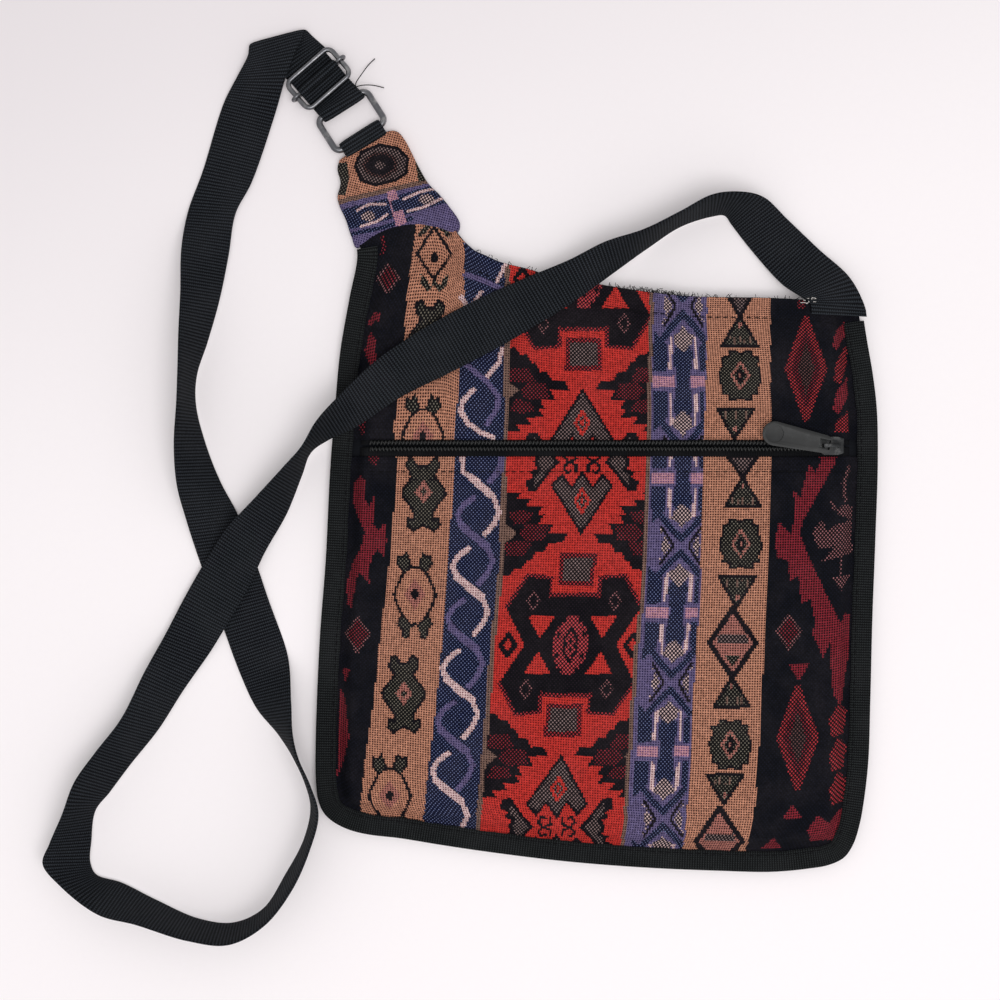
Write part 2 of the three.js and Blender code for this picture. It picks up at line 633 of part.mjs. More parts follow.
// Slider: two plates on a thin web, with a bridge for the pull
function plateOutline(length, width) {
  const shoulder = length * SHOULDER_SHARE;
  const nose = width * NOSE_SHARE;
  return [
    [-length / 2, -nose], [-length / 2 + shoulder, -width / 2], [length / 2 - shoulder, -width / 2],
    [length / 2, -width * TAIL_SHARE], [length / 2, width * TAIL_SHARE], [length / 2 - shoulder, width / 2],
    [-length / 2 + shoulder, width / 2], [-length / 2, nose],
  ];
}

function sliderBody() {
  const outline = plateOutline(SLIDER_LENGTH, SLIDER_WIDTH);
  const top = toSolid(slab(outline, plateBottom, plateTop));
  const keel = toSolid(slab(outline, keelBottom, keelTop));
  const halfWeb = WEB_THICKNESS / 2;
  const webLow = keelTop - JOIN_DEPTH;
  const webHigh = plateBottom + JOIN_DEPTH;
  const web = toSolid(block(-WEB_LENGTH / 2, WEB_LENGTH / 2, -halfWeb, halfWeb, webLow, webHigh));
  const halfSpan = BRIDGE_SPAN / 2;
  const halfWide = BRIDGE_WIDTH / 2;
  const under = hingeHeight + pullSwing + PLAY;
  const over = under + BRIDGE_THICKNESS;
  const arch = toSolid(block(-halfSpan, halfSpan, -halfWide, halfWide, plateTop - JOIN_DEPTH, over));
  const room = halfSpan - BRIDGE_THICKNESS;
  const window = toSolid(block(-room, room, -BRIDGE_WIDTH, BRIDGE_WIDTH, plateTop - 2 * JOIN_DEPTH, under));
  const solid = arch.subtract(window).add(top).add(keel).add(web);
  return fromSolid(solid).translate(SLIDER_X, ZIP_Y, 0);
}
add('zipper_slider', sliderBody(), 0x3a3d40, 0.4, 0.8);

// Pull: a long plate with a round dished end, lying over the closed zip
function pullBody() {
  const small = PULL_SMALL_RADIUS - PULL_BAR / 2;
  const big = small + PULL_LENGTH;
  const lean = THREE.MathUtils.radToDeg(Math.asin((PULL_BIG_RADIUS - PULL_SMALL_RADIUS) / PULL_LENGTH));
  const outline = [
    ...arcPoints(big, 0, PULL_BIG_RADIUS, -90 - lean, 90 + lean, BORE_STEPS),
    ...arcPoints(small, 0, PULL_SMALL_RADIUS, 90 + lean, 270 - lean, BEND_STEPS),
  ];
  const half = PULL_THICKNESS / 2;
  const eyeStart = PULL_BAR / 2;
  const halfEye = PULL_EYE_WIDTH / 2;
  const plate = toSolid(slab(outline, -half, half));
  const eye = toSolid(block(eyeStart, eyeStart + PULL_EYE_LENGTH, -halfEye, halfEye, -CUT_REACH, CUT_REACH));
  const dishShape = circlePoints(big, 0, PULL_DISH_RADIUS, LOOP_STEPS);
  const dish = toSolid(slab(dishShape, half - PULL_DISH_DEPTH, half + CUT_REACH));
  const geometry = fromSolid(plate.subtract(eye).subtract(dish));
  return turned(geometry, [SLIDER_X, ZIP_Y], 180 - PULL_TURN, hingeHeight);
}
add('zipper_pull', pullBody(), 0x33383a, 0.5, 0.3);

// Ring, its webbing loop and the cloth tab
const ringFrame = (geometry) => turned(geometry, RING_CENTRE, RING_TURN, 0);
const ringAlong = [Math.cos(radians(RING_TURN)), Math.sin(radians(RING_TURN))];
const ringUp = [-ringAlong[1], ringAlong[0]];
const ringWire = ringFrame(wireFrame(ringWidth, RING_HEIGHT, RING_CORNER, RING_WIRE));
add('ring', ringWire.translate(0, 0, ringHeight), 0x5a5a5e, 0.35, 0.9);

function loopBody() {
  const inner = RING_WIRE + PLAY;
  const outer = inner + WEBBING_THICKNESS;
  const tailLow = bindingTop / 2 - TAIL_THICKNESS / 2 - ringHeight;
  const tailHigh = tailLow + TAIL_THICKNESS;
  const turnLow = -180 + THREE.MathUtils.radToDeg(Math.asin(-tailLow / outer));
  const turnHigh = 180 - THREE.MathUtils.radToDeg(Math.asin(tailHigh / outer));
  const round = arcPoints(0, 0, outer, turnLow, turnHigh, LOOP_STEPS);
  const outline = [[-LOOP_TAIL, tailLow], ...round, [-LOOP_TAIL, tailHigh]];
  const shape = new THREE.Shape(outline.map(([x, y]) => new THREE.Vector2(x, y)));
  const bore = circlePoints(0, 0, inner, BORE_STEPS).reverse();
  shape.holes.push(new THREE.Path(bore.map(([x, y]) => new THREE.Vector2(x, y))));
  const geometry = new THREE.ExtrudeGeometry(shape, { depth: WEBBING_WIDTH, bevelEnabled: false });
  geometry.translate(0, 0, -WEBBING_WIDTH / 2);
  geometry.rotateX(Math.PI / 2).rotateZ(Math.PI / 2);
  geometry.translate(0, -RING_HEIGHT / 2, ringHeight);
  return ringFrame(geometry);
}
add('ring_loop', loopBody(), 0x1c1f24, 0.85);

function tabBody() {
  const body = toSolid(slab(TAB_POINTS, 0, bindingTop));
  const horn = toSolid(slab(HORN_SLOT_POINTS, BINDING_WALL, slotTop));
  const half = WEBBING_WIDTH / 2 + PLAY;
  const deep = RING_HEIGHT / 2 + LOOP_TAIL + PLAY;
  const low = bindingTop / 2 - TAIL_THICKNESS / 2 - PLAY;
  const pocket = toSolid(ringFrame(block(-half, half, -deep, 0, low, bindingTop - low)));
  return fromSolid(body.subtract(horn).subtract(pocket));
}
add('ring_tab', tabBody(), 0xa8705e, 0.9);

// Slide adjuster: bent wire frame and a middle bar with eyes round its sides
const frameHeight = ringHeight + FRAME_WIRE + FRAME_LIFT;
const adjusterFrame = (geometry) => turned(geometry, FRAME_CENTRE, FRAME_TURN, frameHeight);
const adjusterWire = wireFrame(frameWidth, FRAME_HEIGHT, FRAME_CORNER, FRAME_WIRE);
add('adjuster_frame', adjusterFrame(adjusterWire), 0x5a5a5e, 0.35, 0.9);

function barBody() {
  const rod = new THREE.CylinderGeometry(BAR_WIRE, BAR_WIRE, frameWidth, BEND_STEPS).rotateZ(Math.PI / 2);
  let solid = toSolid(rod);
  [-1, 1].forEach((side) => {
    const ball = new THREE.SphereGeometry(EYE_RADIUS, BORE_STEPS, BEND_STEPS);
    solid = solid.add(toSolid(ball.translate((side * frameWidth) / 2, 0, 0)));
  });
  [-1, 1].forEach((side) => {
    const clear = FRAME_WIRE + PLAY;
    const bore = new THREE.CylinderGeometry(clear, clear, 4 * EYE_RADIUS, BEND_STEPS);
    solid = solid.subtract(toSolid(bore.translate((side * frameWidth) / 2, 0, 0)));
  });
  return adjusterFrame(fromSolid(solid));
}
add('adjuster_bar', barBody(), 0x5a5a5e, 0.35, 0.9);

// Strap's end: under the adjuster, round the ring, back under the near bar and round the middle bar
function strapEndProfile(ringAt) {
  const half = WEBBING_THICKNESS / 2;
  const low = half + STRAP_END_LIFT;
  const turn = RING_WIRE + PLAY + half;
  const barTurn = BAR_WIRE + PLAY + half;
  const underBar = frameHeight - FRAME_WIRE - PLAY - half;
  const dip = [-FRAME_HEIGHT / 2 - UNDER_BAR_RUN, underBar];
  const away = [dip[0] - ringAt, dip[1] - ringHeight];
  const leave = Math.atan2(away[1], away[0]) + Math.acos(turn / Math.hypot(...away));
  const path = [
    [STRAP_END_REACH, low], [STRAP_END_BEND, low], [ringAt + RING_APPROACH, low - APPROACH_DROP],
    ...arcPoints(ringAt, ringHeight, turn, 270, THREE.MathUtils.radToDeg(leave), BEND_STEPS),
    dip, [-FRAME_HEIGHT / 2, underBar], [-FRAME_HEIGHT / 2 + UNDER_BAR_RUN, underBar],
    ...arcPoints(0, frameHeight, barTurn, 150, -90, BEND_STEPS),
  ];
  return thickPath(path, half);
}

function strapEndBody() {
  const turn = radians(RING_TURN - FRAME_TURN);
  const bar = RING_CENTRE.map((value, k) => value + (ringUp[k] * RING_HEIGHT) / 2);
  const along = [Math.cos(radians(FRAME_TURN)), Math.sin(radians(FRAME_TURN))];
  const offset = [bar[0] - FRAME_CENTRE[0], bar[1] - FRAME_CENTRE[1]];
  const across = offset[0] * along[0] + offset[1] * along[1];
  const up = -offset[0] * along[1] + offset[1] * along[0];
  const halves = [-WEBBING_WIDTH / 2, WEBBING_WIDTH / 2];
  const profiles = halves.map((w) => strapEndProfile(up + (w - across) * Math.tan(turn)));
  const rings = halves.map((w, k) => profiles[k].map(([s, z]) => [w, s, z]));
  return turned(loft(rings, false, profiles[0]), FRAME_CENTRE, FRAME_TURN);
}
add('strap_end', strapEndBody(), 0x1c1f24, 0.85);

// Main strap: a ribbon between its two edges, with a rounded eight-sided section
function strapBody() {
  const curves = [0, 1].map((side) => {
    const knots = STRAP_EDGES.map((pair) => new THREE.Vector3(...pair[side]));
    return new THREE.CatmullRomCurve3(knots, false, 'centripetal');
  });
  const rings = [];
  let section = [];
  const pairAt = (t) => curves.map((curve) => curve.getPoint(Math.min(1, Math.max(0, t))));
  for (let k = 0; k <= STRAP_STEPS; k += 1) {
    const t = k / STRAP_STEPS;
    const [a, b] = pairAt(t);
    const [a0, b0] = pairAt(t - STRAP_LOOKAHEAD);
    const [a1, b1] = pairAt(t + STRAP_LOOKAHEAD);
    const across = b.clone().sub(a).normalize();
    const along = a1.add(b1).sub(a0).sub(b0).normalize();
    const normal = along.cross(across).normalize();
    const middle = a.clone().add(b).multiplyScalar(0.5);
    const half = a.distanceTo(b) / 2;
    const thick = STRAP_THICKNESS / 2;
    const rim = thick * STRAP_RIM;
    section = [
      [-half + rim, thick], [0, thick], [half - rim, thick], [half, 0],
      [half - rim, -thick], [0, -thick], [-half + rim, -thick], [-half, 0],
    ];
    const place = ([w, n]) => middle.clone().addScaledVector(across, w).addScaledVector(normal, n);
    rings.push(section.map((corner) => place(corner).toArray()));
  }
  return loft(rings, false, section);
}
add('strap', strapBody(), 0x1c1f24, 0.85);

export default bag;
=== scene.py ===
"""Looks of a small flat sling bag: striped cloth, bound edges, coil zip, wire fittings, webbing strap."""

import logging
from dataclasses import dataclass, field
from enum import Enum
from typing import Callable, Mapping, Sequence

import bpy
import numpy as np
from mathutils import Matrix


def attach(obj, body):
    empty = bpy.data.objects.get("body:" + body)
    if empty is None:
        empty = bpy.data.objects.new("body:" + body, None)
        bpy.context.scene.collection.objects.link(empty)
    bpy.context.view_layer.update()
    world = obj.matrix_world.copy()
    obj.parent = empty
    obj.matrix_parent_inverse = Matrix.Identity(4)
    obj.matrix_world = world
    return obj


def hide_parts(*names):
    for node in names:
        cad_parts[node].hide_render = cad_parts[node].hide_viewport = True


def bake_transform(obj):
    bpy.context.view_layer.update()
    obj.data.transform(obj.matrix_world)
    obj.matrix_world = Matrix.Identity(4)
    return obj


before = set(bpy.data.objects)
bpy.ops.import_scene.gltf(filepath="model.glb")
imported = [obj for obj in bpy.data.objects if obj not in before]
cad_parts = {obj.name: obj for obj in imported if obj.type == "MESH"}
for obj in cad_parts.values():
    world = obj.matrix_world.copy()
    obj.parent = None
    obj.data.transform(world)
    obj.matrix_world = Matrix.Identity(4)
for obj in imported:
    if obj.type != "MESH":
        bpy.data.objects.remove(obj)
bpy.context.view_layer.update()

MM = 0.001
FULL_TURN = 2 * np.pi
UP = (0.0, 0.0, 1.0)
CLOTH_SPECULAR = 0.12

log = logging.getLogger("sling_bag")

Array = np.ndarray
Material = bpy.types.Material
Piece = bpy.types.Object
Reader = Callable[[Array], Array]
Colour = tuple[float, float, float, float]


def paint(red: float, green: float, blue: float) -> Colour:
    """Turns a display colour into the linear one that a shader takes.

    Args:
        red: Red from 0 to 255.
        green: Green from 0 to 255.
        blue: Blue from 0 to 255.

    Returns:
        The linear colour with full alpha.
    """
    share = np.array([red, green, blue]) / 255
    linear = np.where(share <= 0.04045, share / 12.92, ((share + 0.055) / 1.055) ** 2.4)
    return (float(linear[0]), float(linear[1]), float(linear[2]), 1.0)


def smooth(t: Array) -> Array:
    """Returns t eased from 0 to 1 as 3t squared minus 2t cubed, level outside."""
    c = np.clip(t, 0, 1)
    return c * c * (3 - 2 * c)


class Lattice(Enum):
    """How the flecks of a second yarn show through a colour."""

    SQUARE = 0.0
    DIAGONAL = 1.0


@dataclass(frozen=True)
class Yarn:
    """One woven colour: a ground yarn with flecks of another between its floats.

    Attributes:
        ground: Linear colour of the yarn on top.
        fleck: Linear colour of the yarn that shows through.
        lattice: How the flecks lie.
        size: Share of the surface that the flecks take.
    """

    ground: Colour
    fleck: Colour
    lattice: Lattice = Lattice.SQUARE
    size: float = 0.3


RED = Yarn(paint(214, 58, 50), paint(92, 12, 22), Lattice.SQUARE, 0.36)
PEACH = Yarn(paint(212, 148, 120), paint(50, 22, 22), Lattice.SQUARE, 0.46)
NAVY = Yarn(paint(9, 15, 46), paint(126, 138, 180), Lattice.DIAGONAL, 0.11)
VIOLET = Yarn(paint(116, 104, 144), paint(26, 26, 72), Lattice.SQUARE, 0.42)
PINK = Yarn(paint(236, 204, 202), paint(130, 66, 80), Lattice.SQUARE, 0.38)
BROWN = Yarn(paint(136, 106, 94), paint(36, 22, 26), Lattice.SQUARE, 0.40)
NIGHT = Yarn(paint(7, 9, 17), paint(18, 20, 34), Lattice.DIAGONAL, 0.18)
BLACK = Yarn(paint(9, 8, 15), paint(38, 26, 36), Lattice.DIAGONAL, 0.14)
SPECKLED = Yarn(paint(18, 13, 17), paint(150, 126, 124), Lattice.DIAGONAL, 0.22)
MAROON_DOT = Yarn(paint(16, 8, 14), paint(160, 46, 60), Lattice.DIAGONAL, 0.18)
MAROON = Yarn(paint(146, 42, 54), paint(16, 8, 16), Lattice.SQUARE, 0.52)
RED_DOT = Yarn(paint(36, 10, 18), paint(212, 78, 84), Lattice.DIAGONAL, 0.30)
OLIVE_DOT = Yarn(paint(12, 11, 12), paint(134, 128, 114), Lattice.DIAGONAL, 0.15)
ROSE = Yarn(paint(192, 124, 112), paint(42, 18, 24), Lattice.SQUARE, 0.47)
ROSE_DOT = Yarn(paint(14, 10, 14), paint(170, 112, 116), Lattice.DIAGONAL, 0.20)
BROWN_DOT = Yarn(paint(14, 10, 14), paint(120, 82, 80), Lattice.DIAGONAL, 0.18)
RED_SPOT = Yarn(paint(20, 8, 14), paint(196, 58, 66), Lattice.DIAGONAL, 0.24)
PINK_CHECK = Yarn(paint(24, 18, 34), paint(232, 200, 196), Lattice.DIAGONAL, 0.26)
PINK_ROW = Yarn(paint(206, 150, 160), paint(90, 60, 120), Lattice.SQUARE, 0.42)
YARNS = (
    RED, PEACH, NAVY, VIOLET, PINK, BROWN, NIGHT, BLACK, SPECKLED, MAROON_DOT, MAROON, RED_DOT,
    OLIVE_DOT, ROSE, ROSE_DOT, BROWN_DOT, RED_SPOT, PINK_CHECK, PINK_ROW,
)


class Signal:
    """A shader output that can be used in Python arithmetic; each operator adds its Math node."""

    def __init__(self, recipe: "Recipe", socket: bpy.types.NodeSocket) -> None:
        """Keeps the recipe the node belongs to and the socket itself."""
        self.recipe = recipe
        self.socket = socket

    def _math(self, operation: str, first: "Signal | float", second: "Signal | float") -> "Signal":
        """Adds one Math node.

        Args:
            operation: The node's operation.
            first: Its first value.
            second: Its second value.

        Returns:
            The node's output.
        """
        return self.recipe.node("ShaderNodeMath", {"operation": operation}, {0: first, 1: second})

    def __add__(self, other: "Signal | float") -> "Signal":
        """Returns this plus other."""
        return self._math("ADD", self, other)

    __radd__ = __add__

    def __sub__(self, other: "Signal | float") -> "Signal":
        """Returns this minus other."""
        return self._math("SUBTRACT", self, other)

    def __rsub__(self, other: "Signal | float") -> "Signal":
        """Returns other minus this."""
        return self._math("SUBTRACT", other, self)

    def __mul__(self, other: "Signal | float") -> "Signal":
        """Returns this times other."""
        return self._math("MULTIPLY", self, other)

    __rmul__ = __mul__

    def cosine(self) -> "Signal":
        """Returns the cosine of this angle."""
        return self._math("COSINE", self, 0.0)

    def absolute(self) -> "Signal":
        """Returns this without its sign."""
        return self._math("ABSOLUTE", self, 0.0)

    def step(self, low: "Signal | float", high: "Signal | float") -> "Signal":
        """Returns 0 below low, 1 above high and a smooth rise between."""
        settings = {"interpolation_type": "SMOOTHSTEP"}
        return self.recipe.node("ShaderNodeMapRange", settings, {0: self, 1: low, 2: high})


class Recipe:
    """The node tree of one material, round a single surface shader."""

    def __init__(self, name: str) -> None:
        """Starts a material with an empty tree and its surface shader.

        Args:
            name: Name of the material.
        """
        self.material = bpy.data.materials.new(name)
        self.material.use_nodes = True
        self.tree = self.material.node_tree
        self.tree.nodes.clear()
        self.shader = self.tree.nodes.new("ShaderNodeBsdfPrincipled")
        output = self.tree.nodes.new("ShaderNodeOutputMaterial")
        self.tree.links.new(self.shader.outputs[0], output.inputs[0])

    def node(
        self, kind: str, settings: Mapping[str, object], sockets: Mapping[int | str, object],
        out: int | str = 0,
    ) -> Signal:
        """Adds a node of any type.

        Args:
            kind: The node's type.
            settings: Its properties, set first.
            sockets: The values or signals of its inputs.
            out: Which output to return.

        Returns:
            The chosen output.
        """
        made = self.tree.nodes.new(kind)
        for key, value in settings.items():
            setattr(made, key, value)
        for key, value in sockets.items():
            self.feed(made.inputs[key], value)
        return Signal(self, made.outputs[out])

    def feed(self, socket: bpy.types.NodeSocket, value: object) -> None:
        """Links a signal to an input, or sets the input's own value.

        Args:
            socket: The input.
            value: A signal, a number or a colour.
        """
        if isinstance(value, Signal):
            self.tree.links.new(value.socket, socket)
        else:
            socket.default_value = value

    def surface(self, **sockets: object) -> None:
        """Sets the surface shader's inputs, named with underscores for spaces."""
        for key, value in sockets.items():
            self.feed(self.shader.inputs[key.replace("_", " ")], value)

    def place(self) -> Signal:
        """Returns the place on the object."""
        return self.node("ShaderNodeTexCoord", {}, {}, "Object")

    def number(self, name: str) -> Signal:
        """Returns a number kept on the mesh."""
        return self.node("ShaderNodeAttribute", {"attribute_name": name}, {}, "Fac")

    def colour(self, name: str) -> Signal:
        """Returns a colour kept on the mesh."""
        return self.node("ShaderNodeAttribute", {"attribute_name": name}, {}, "Vector")

    def noise(self, scale: float, detail: float = 2.0, roughness: float = 0.5) -> Signal:
        """Returns soft noise over the object, from 0 to 1.

        Args:
            scale: Features per metre.
            detail: Number of finer layers.
            roughness: Strength of the finer layers.

        Returns:
            The noise.
        """
        sockets = {"Vector": self.place(), "Scale": scale, "Detail": detail, "Roughness": roughness}
        return self.node("ShaderNodeTexNoise", {}, sockets)

    def mix(self, factor: object, first: object, second: object, blend: str = "MIX") -> Signal:
        """Mixes two colours.

        Args:
            factor: Share of the second colour.
            first: First colour.
            second: Second colour.
            blend: The way they are mixed.

        Returns:
            The mixed colour.
        """
        settings = {"data_type": "RGBA", "blend_type": blend}
        return self.node("ShaderNodeMix", settings, {0: factor, 6: first, 7: second}, 2)

    def bump(self, height: Signal, distance: float, strength: float = 1.0) -> Signal:
        """Returns a normal bumped by a height.

        Args:
            height: Height from 0 to 1.
            distance: What 1 stands for, in metres.
            strength: Share of the bump that shows.

        Returns:
            The bumped normal.
        """
        sockets = {"Strength": strength, "Distance": distance, "Height": height}
        return self.node("ShaderNodeBump", {}, sockets)


@dataclass(frozen=True)
class StripedWeave:
    """Patterned cloth whose colours are kept on the mesh, one pair of yarns to each cell.

    Attributes:
        name: Name of the material.
        relief: Height of the weft over the warp, in metres.
        fading: Share of the worn colour where the cloth is worn most.
        shading: How much the darkest streaks darken it.
    """

    name: str = "striped_weave"
    relief: float = 0.00022
    fading: float = 0.035
    shading: float = 0.62

    def build(self) -> Material:
        """Builds the cloth: flecks by cosines of pick and end, ribs along the picks, faded patches.

        Returns:
            The material.
        """
        recipe = Recipe(self.name)
        lattice = recipe.number("lattice")
        pick = recipe.number("pick") * FULL_TURN * (1.3 - lattice * 0.52)
        end = recipe.number("end") * FULL_TURN * (1.0 - lattice * 0.32)
        both = (pick.cosine() + end.cosine()) * 0.5
        weave = both + lattice * (both.absolute() - both)
        loose = recipe.noise(1100.0, 2.0, 0.7)
        threshold = 1.16 - recipe.number("size") * 1.7 - loose * 0.32
        fleck = weave.step(threshold - 0.13, threshold + 0.13)
        woven = recipe.mix(fleck, recipe.colour("ground"), recipe.colour("fleck"))
        wear = recipe.noise(60.0, 3.0, 0.6).step(0.3, 0.75)
        faded = recipe.mix(wear * self.fading, woven, paint(150, 136, 140))
        streak = recipe.noise(850.0, 3.0, 0.8).step(0.3, 0.72)
        depth = self.shading - streak * self.shading
        shaded = recipe.mix(depth, faded, paint(96, 84, 88), "MULTIPLY")
        height = 0.5 + 0.3 * pick.cosine() + 0.2 * (end + pick * 0.5).cosine()
        fuzz = recipe.noise(1500.0, 2.0, 0.7)
        normal = recipe.bump(height + fuzz * 0.5, self.relief, 0.8)
        recipe.surface(Base_Color=shaded, Roughness=0.9, Normal=normal)
        recipe.shader.inputs["Specular IOR Level"].default_value = CLOTH_SPECULAR
        return recipe.material


@dataclass(frozen=True)
class RibbedBand:
    """Narrow woven tape or webbing with ribs across its run.

    Attributes:
        name: Name of the material.
        dark: Colour in the grooves, a painted shade.
        light: Colour on the ribs, a painted highlight.
        pitch: Distance from rib to rib, in metres.
        cords: Distance between the fine cords across the band, in metres.
        relief: Height of the ribs, in metres.
        rough: Roughness.
    """

    name: str
    dark: Colour
    light: Colour
    pitch: float
    cords: float
    relief: float
    rough: float = 0.86

    def build(self) -> Material:
        """Builds the band: the cosine of the run gives the ribs and that of the side the cords.

        Returns:
            The material.
        """
        recipe = Recipe(self.name)
        run = recipe.number("run") * (FULL_TURN / self.pitch)
        side = recipe.number("side") * (FULL_TURN / self.cords)
        ribs = 0.5 + 0.5 * (run + side.cosine() * 0.7).cosine()
        cords = 0.5 + 0.5 * side.cosine()
        fuzz = recipe.noise(1300.0, 3.0, 0.7)
        # Painted highlight on the ribs and cords, which also make the bump, and painted shade in the grooves
        # between them; the fuzz noise adds random fibre tone.
        lit = (ribs * 0.6 + cords * 0.3 + fuzz * 0.55).step(0.5, 1.25)
        worn = recipe.noise(45.0, 3.0, 0.6).step(0.35, 0.8)
        base = recipe.mix(lit, self.dark, self.light)
        dusty = recipe.mix(worn * 0.03, base, paint(120, 120, 124))
        height = ribs * 0.6 + cords * 0.3 + fuzz * 0.35
        recipe.surface(
            Base_Color=dusty, Roughness=self.rough, Normal=recipe.bump(height, self.relief, 0.9)
        )
        recipe.shader.inputs["Specular IOR Level"].default_value = CLOTH_SPECULAR
        return recipe.material


@dataclass(frozen=True)
class PlainCloth:
    """Fine plain cloth or spun thread.

    Attributes:
        name: Name of the material.
        dark: Colour between the threads.
        light: Colour on the threads.
        pitch: Distance between threads, in metres.
    """

    name: str
    dark: Colour
    light: Colour
    pitch: float = 0.0006

    def build(self) -> Material:
        """Builds the cloth: crossed bands along X and Y over soft noise.

        Returns:
            The material.
        """
        recipe = Recipe(self.name)
        bands = []
        for axis in ("X", "Y"):
            settings = {"bands_direction": axis}
            sockets = {"Vector": recipe.place(), "Scale": 0.314 / self.pitch, "Distortion": 0.6}
            bands.append(recipe.node("ShaderNodeTexWave", settings, sockets, "Fac"))
        threads = (bands[0] + bands[1]) * 0.5
        patches = recipe.noise(70.0, 3.0, 0.6)
        colour = recipe.mix(threads * 0.5 + patches * 0.5, self.dark, self.light)
        recipe.surface(Base_Color=colour, Roughness=0.92, Normal=recipe.bump(threads, 0.00012, 0.7))
        recipe.shader.inputs["Specular IOR Level"].default_value = CLOTH_SPECULAR
        return recipe.material


@dataclass(frozen=True)
class DarkMetal:
    """Dark plated or coated metal with handling wear.

    Attributes:
        name: Name of the material.
        deep: Colour where the finish is whole.
        worn: Colour where it is rubbed.
        metallic: Share of metal.
        rough: Roughness of the whole finish.
    """

    name: str
    deep: Colour
    worn: Colour
    metallic: float
    rough: float

    def build(self) -> Material:
        """Builds the metal: rubbed patches from coarse noise and a grain from fine noise.

        Returns:
            The material.
        """
        recipe = Recipe(self.name)
        rubbed = recipe.noise(220.0, 4.0, 0.65).step(0.45, 0.7)
        fine = recipe.noise(2600.0, 2.0, 0.6)
        colour = recipe.mix(rubbed * 0.7, self.deep, self.worn)
        rough = self.rough + 0.12 * fine - 0.06 * rubbed
        normal = recipe.bump(fine, 0.00003, 0.5)
        recipe.surface(Base_Color=colour, Roughness=rough, Metallic=self.metallic, Normal=normal)
        return recipe.material


@dataclass(frozen=True)
class CoilNylon:
    """Black moulded coil of a zip.

    Attributes:
        name: Name of the material.
    """

    name: str = "coil_nylon"

    def build(self) -> Material:
        """Builds the nylon: near black, a little shiny, with lint in the grooves.

        Returns:
            The material.
        """
        recipe = Recipe(self.name)
        lint = recipe.noise(1600.0, 3.0, 0.7).step(0.5, 0.75)
        colour = recipe.mix(lint * 0.5, paint(6, 7, 8), paint(42, 46, 46))
        recipe.surface(Base_Color=colour, Roughness=0.42 + lint * 0.3)
        return recipe.material


STRIPED_WEAVE = StripedWeave()
# In each band the first colour is painted shade in the grooves and the second a painted highlight on the
# ribs.
BINDING_TAPE = RibbedBand("binding_tape", paint(4, 5, 6), paint(43, 46, 47), 1.0 * MM, 0.9 * MM, 0.0002)
STRAP_WEBBING = RibbedBand("strap_webbing", paint(3, 4, 7), paint(48, 52, 58), 1.3 * MM, 0.9 * MM, 0.00024)
ZIP_TAPE = RibbedBand("zip_tape", paint(3, 3, 5), paint(20, 21, 24), 0.7 * MM, 0.6 * MM, 0.0001)
LINING_CLOTH = PlainCloth("lining_cloth", paint(8, 9, 12), paint(28, 30, 36))
BLACK_THREAD = PlainCloth("black_thread", paint(5, 5, 7), paint(26, 25, 28), 0.0003)
WHITE_THREAD = PlainCloth("white_thread", paint(190, 184, 180), paint(232, 228, 224), 0.0003)
GUNMETAL = DarkMetal("gunmetal_wire", paint(112, 112, 116), paint(176, 174, 174), 1.0, 0.24)
SLIDER_METAL = DarkMetal("slider_metal", paint(16, 18, 20), paint(96, 96, 96), 0.4, 0.36)
PULL_METAL = DarkMetal("pull_metal", paint(3, 4, 5), paint(17, 19, 20), 0.0, 0.46)
COIL_NYLON = CoilNylon()


def catmull(knots: Sequence[Sequence[float]], count: int) -> Array:
    """Runs a centripetal curve through knots, its parameter even from knot to knot.

    Each span is the cubic whose end slopes weigh the neighbours by the square root of their distance.

    Args:
        knots: Points of any dimension.
        count: Number of points to return.

    Returns:
        The curve's points.
    """
    points = np.array(knots, float)
    points = np.vstack([2 * points[0] - points[1], points, 2 * points[-1] - points[-2]])
    gap = np.sqrt(np.linalg.norm(np.diff(points, axis=0), axis=1))[:, None]
    at = np.linspace(0, len(knots) - 1, count)
    span = np.minimum(at.astype(int), len(knots) - 2)
    w = (at - span)[:, None]
    before, start, finish, after = (points[span + k] for k in range(4))
    d0, d1, d2 = (gap[span + k] for k in range(3))
    slope_in = ((start - before) / d0 - (finish - before) / (d0 + d1) + (finish - start) / d1) * d1
    slope_out = ((finish - start) / d1 - (after - start) / (d1 + d2) + (after - finish) / d2) * d1
    square = -3 * start + 3 * finish - 2 * slope_in - slope_out
    cube = 2 * start - 2 * finish + slope_in + slope_out
    return start + slope_in * w + square * w**2 + cube * w**3


def unit(vectors: Array) -> Array:
    """Returns vectors scaled to length 1."""
    return vectors / np.maximum(np.linalg.norm(vectors, axis=-1, keepdims=True), 1e-12)


def run_along(points: Array) -> Array:
    """Returns the distance along a line at each of its points."""
    return np.concatenate([[0.0], np.cumsum(np.linalg.norm(np.diff(points, axis=0), axis=1))])


def grid_faces(rows: int, columns: int, round_rows: bool = False, round_columns: bool = False) -> Array:
    """Returns the quads of a grid of points kept row by row.

    Args:
        rows: Number of rows.
        columns: Points in each row.
        round_rows: Whether the last row joins the first.
        round_columns: Whether each row closes on itself.

    Returns:
        One line of four indices for each quad.
    """
    j = np.arange(rows if round_rows else rows - 1)[:, None]
    i = np.arange(columns if round_columns else columns - 1)[None, :]
    across = (i + 1) % columns
    above = (j + 1) % rows
    corners = [j * columns + i, j * columns + across, above * columns + across, above * columns + i]
    return np.stack([np.broadcast_to(c, (len(j), i.shape[1])) for c in corners], -1).reshape(-1, 4)


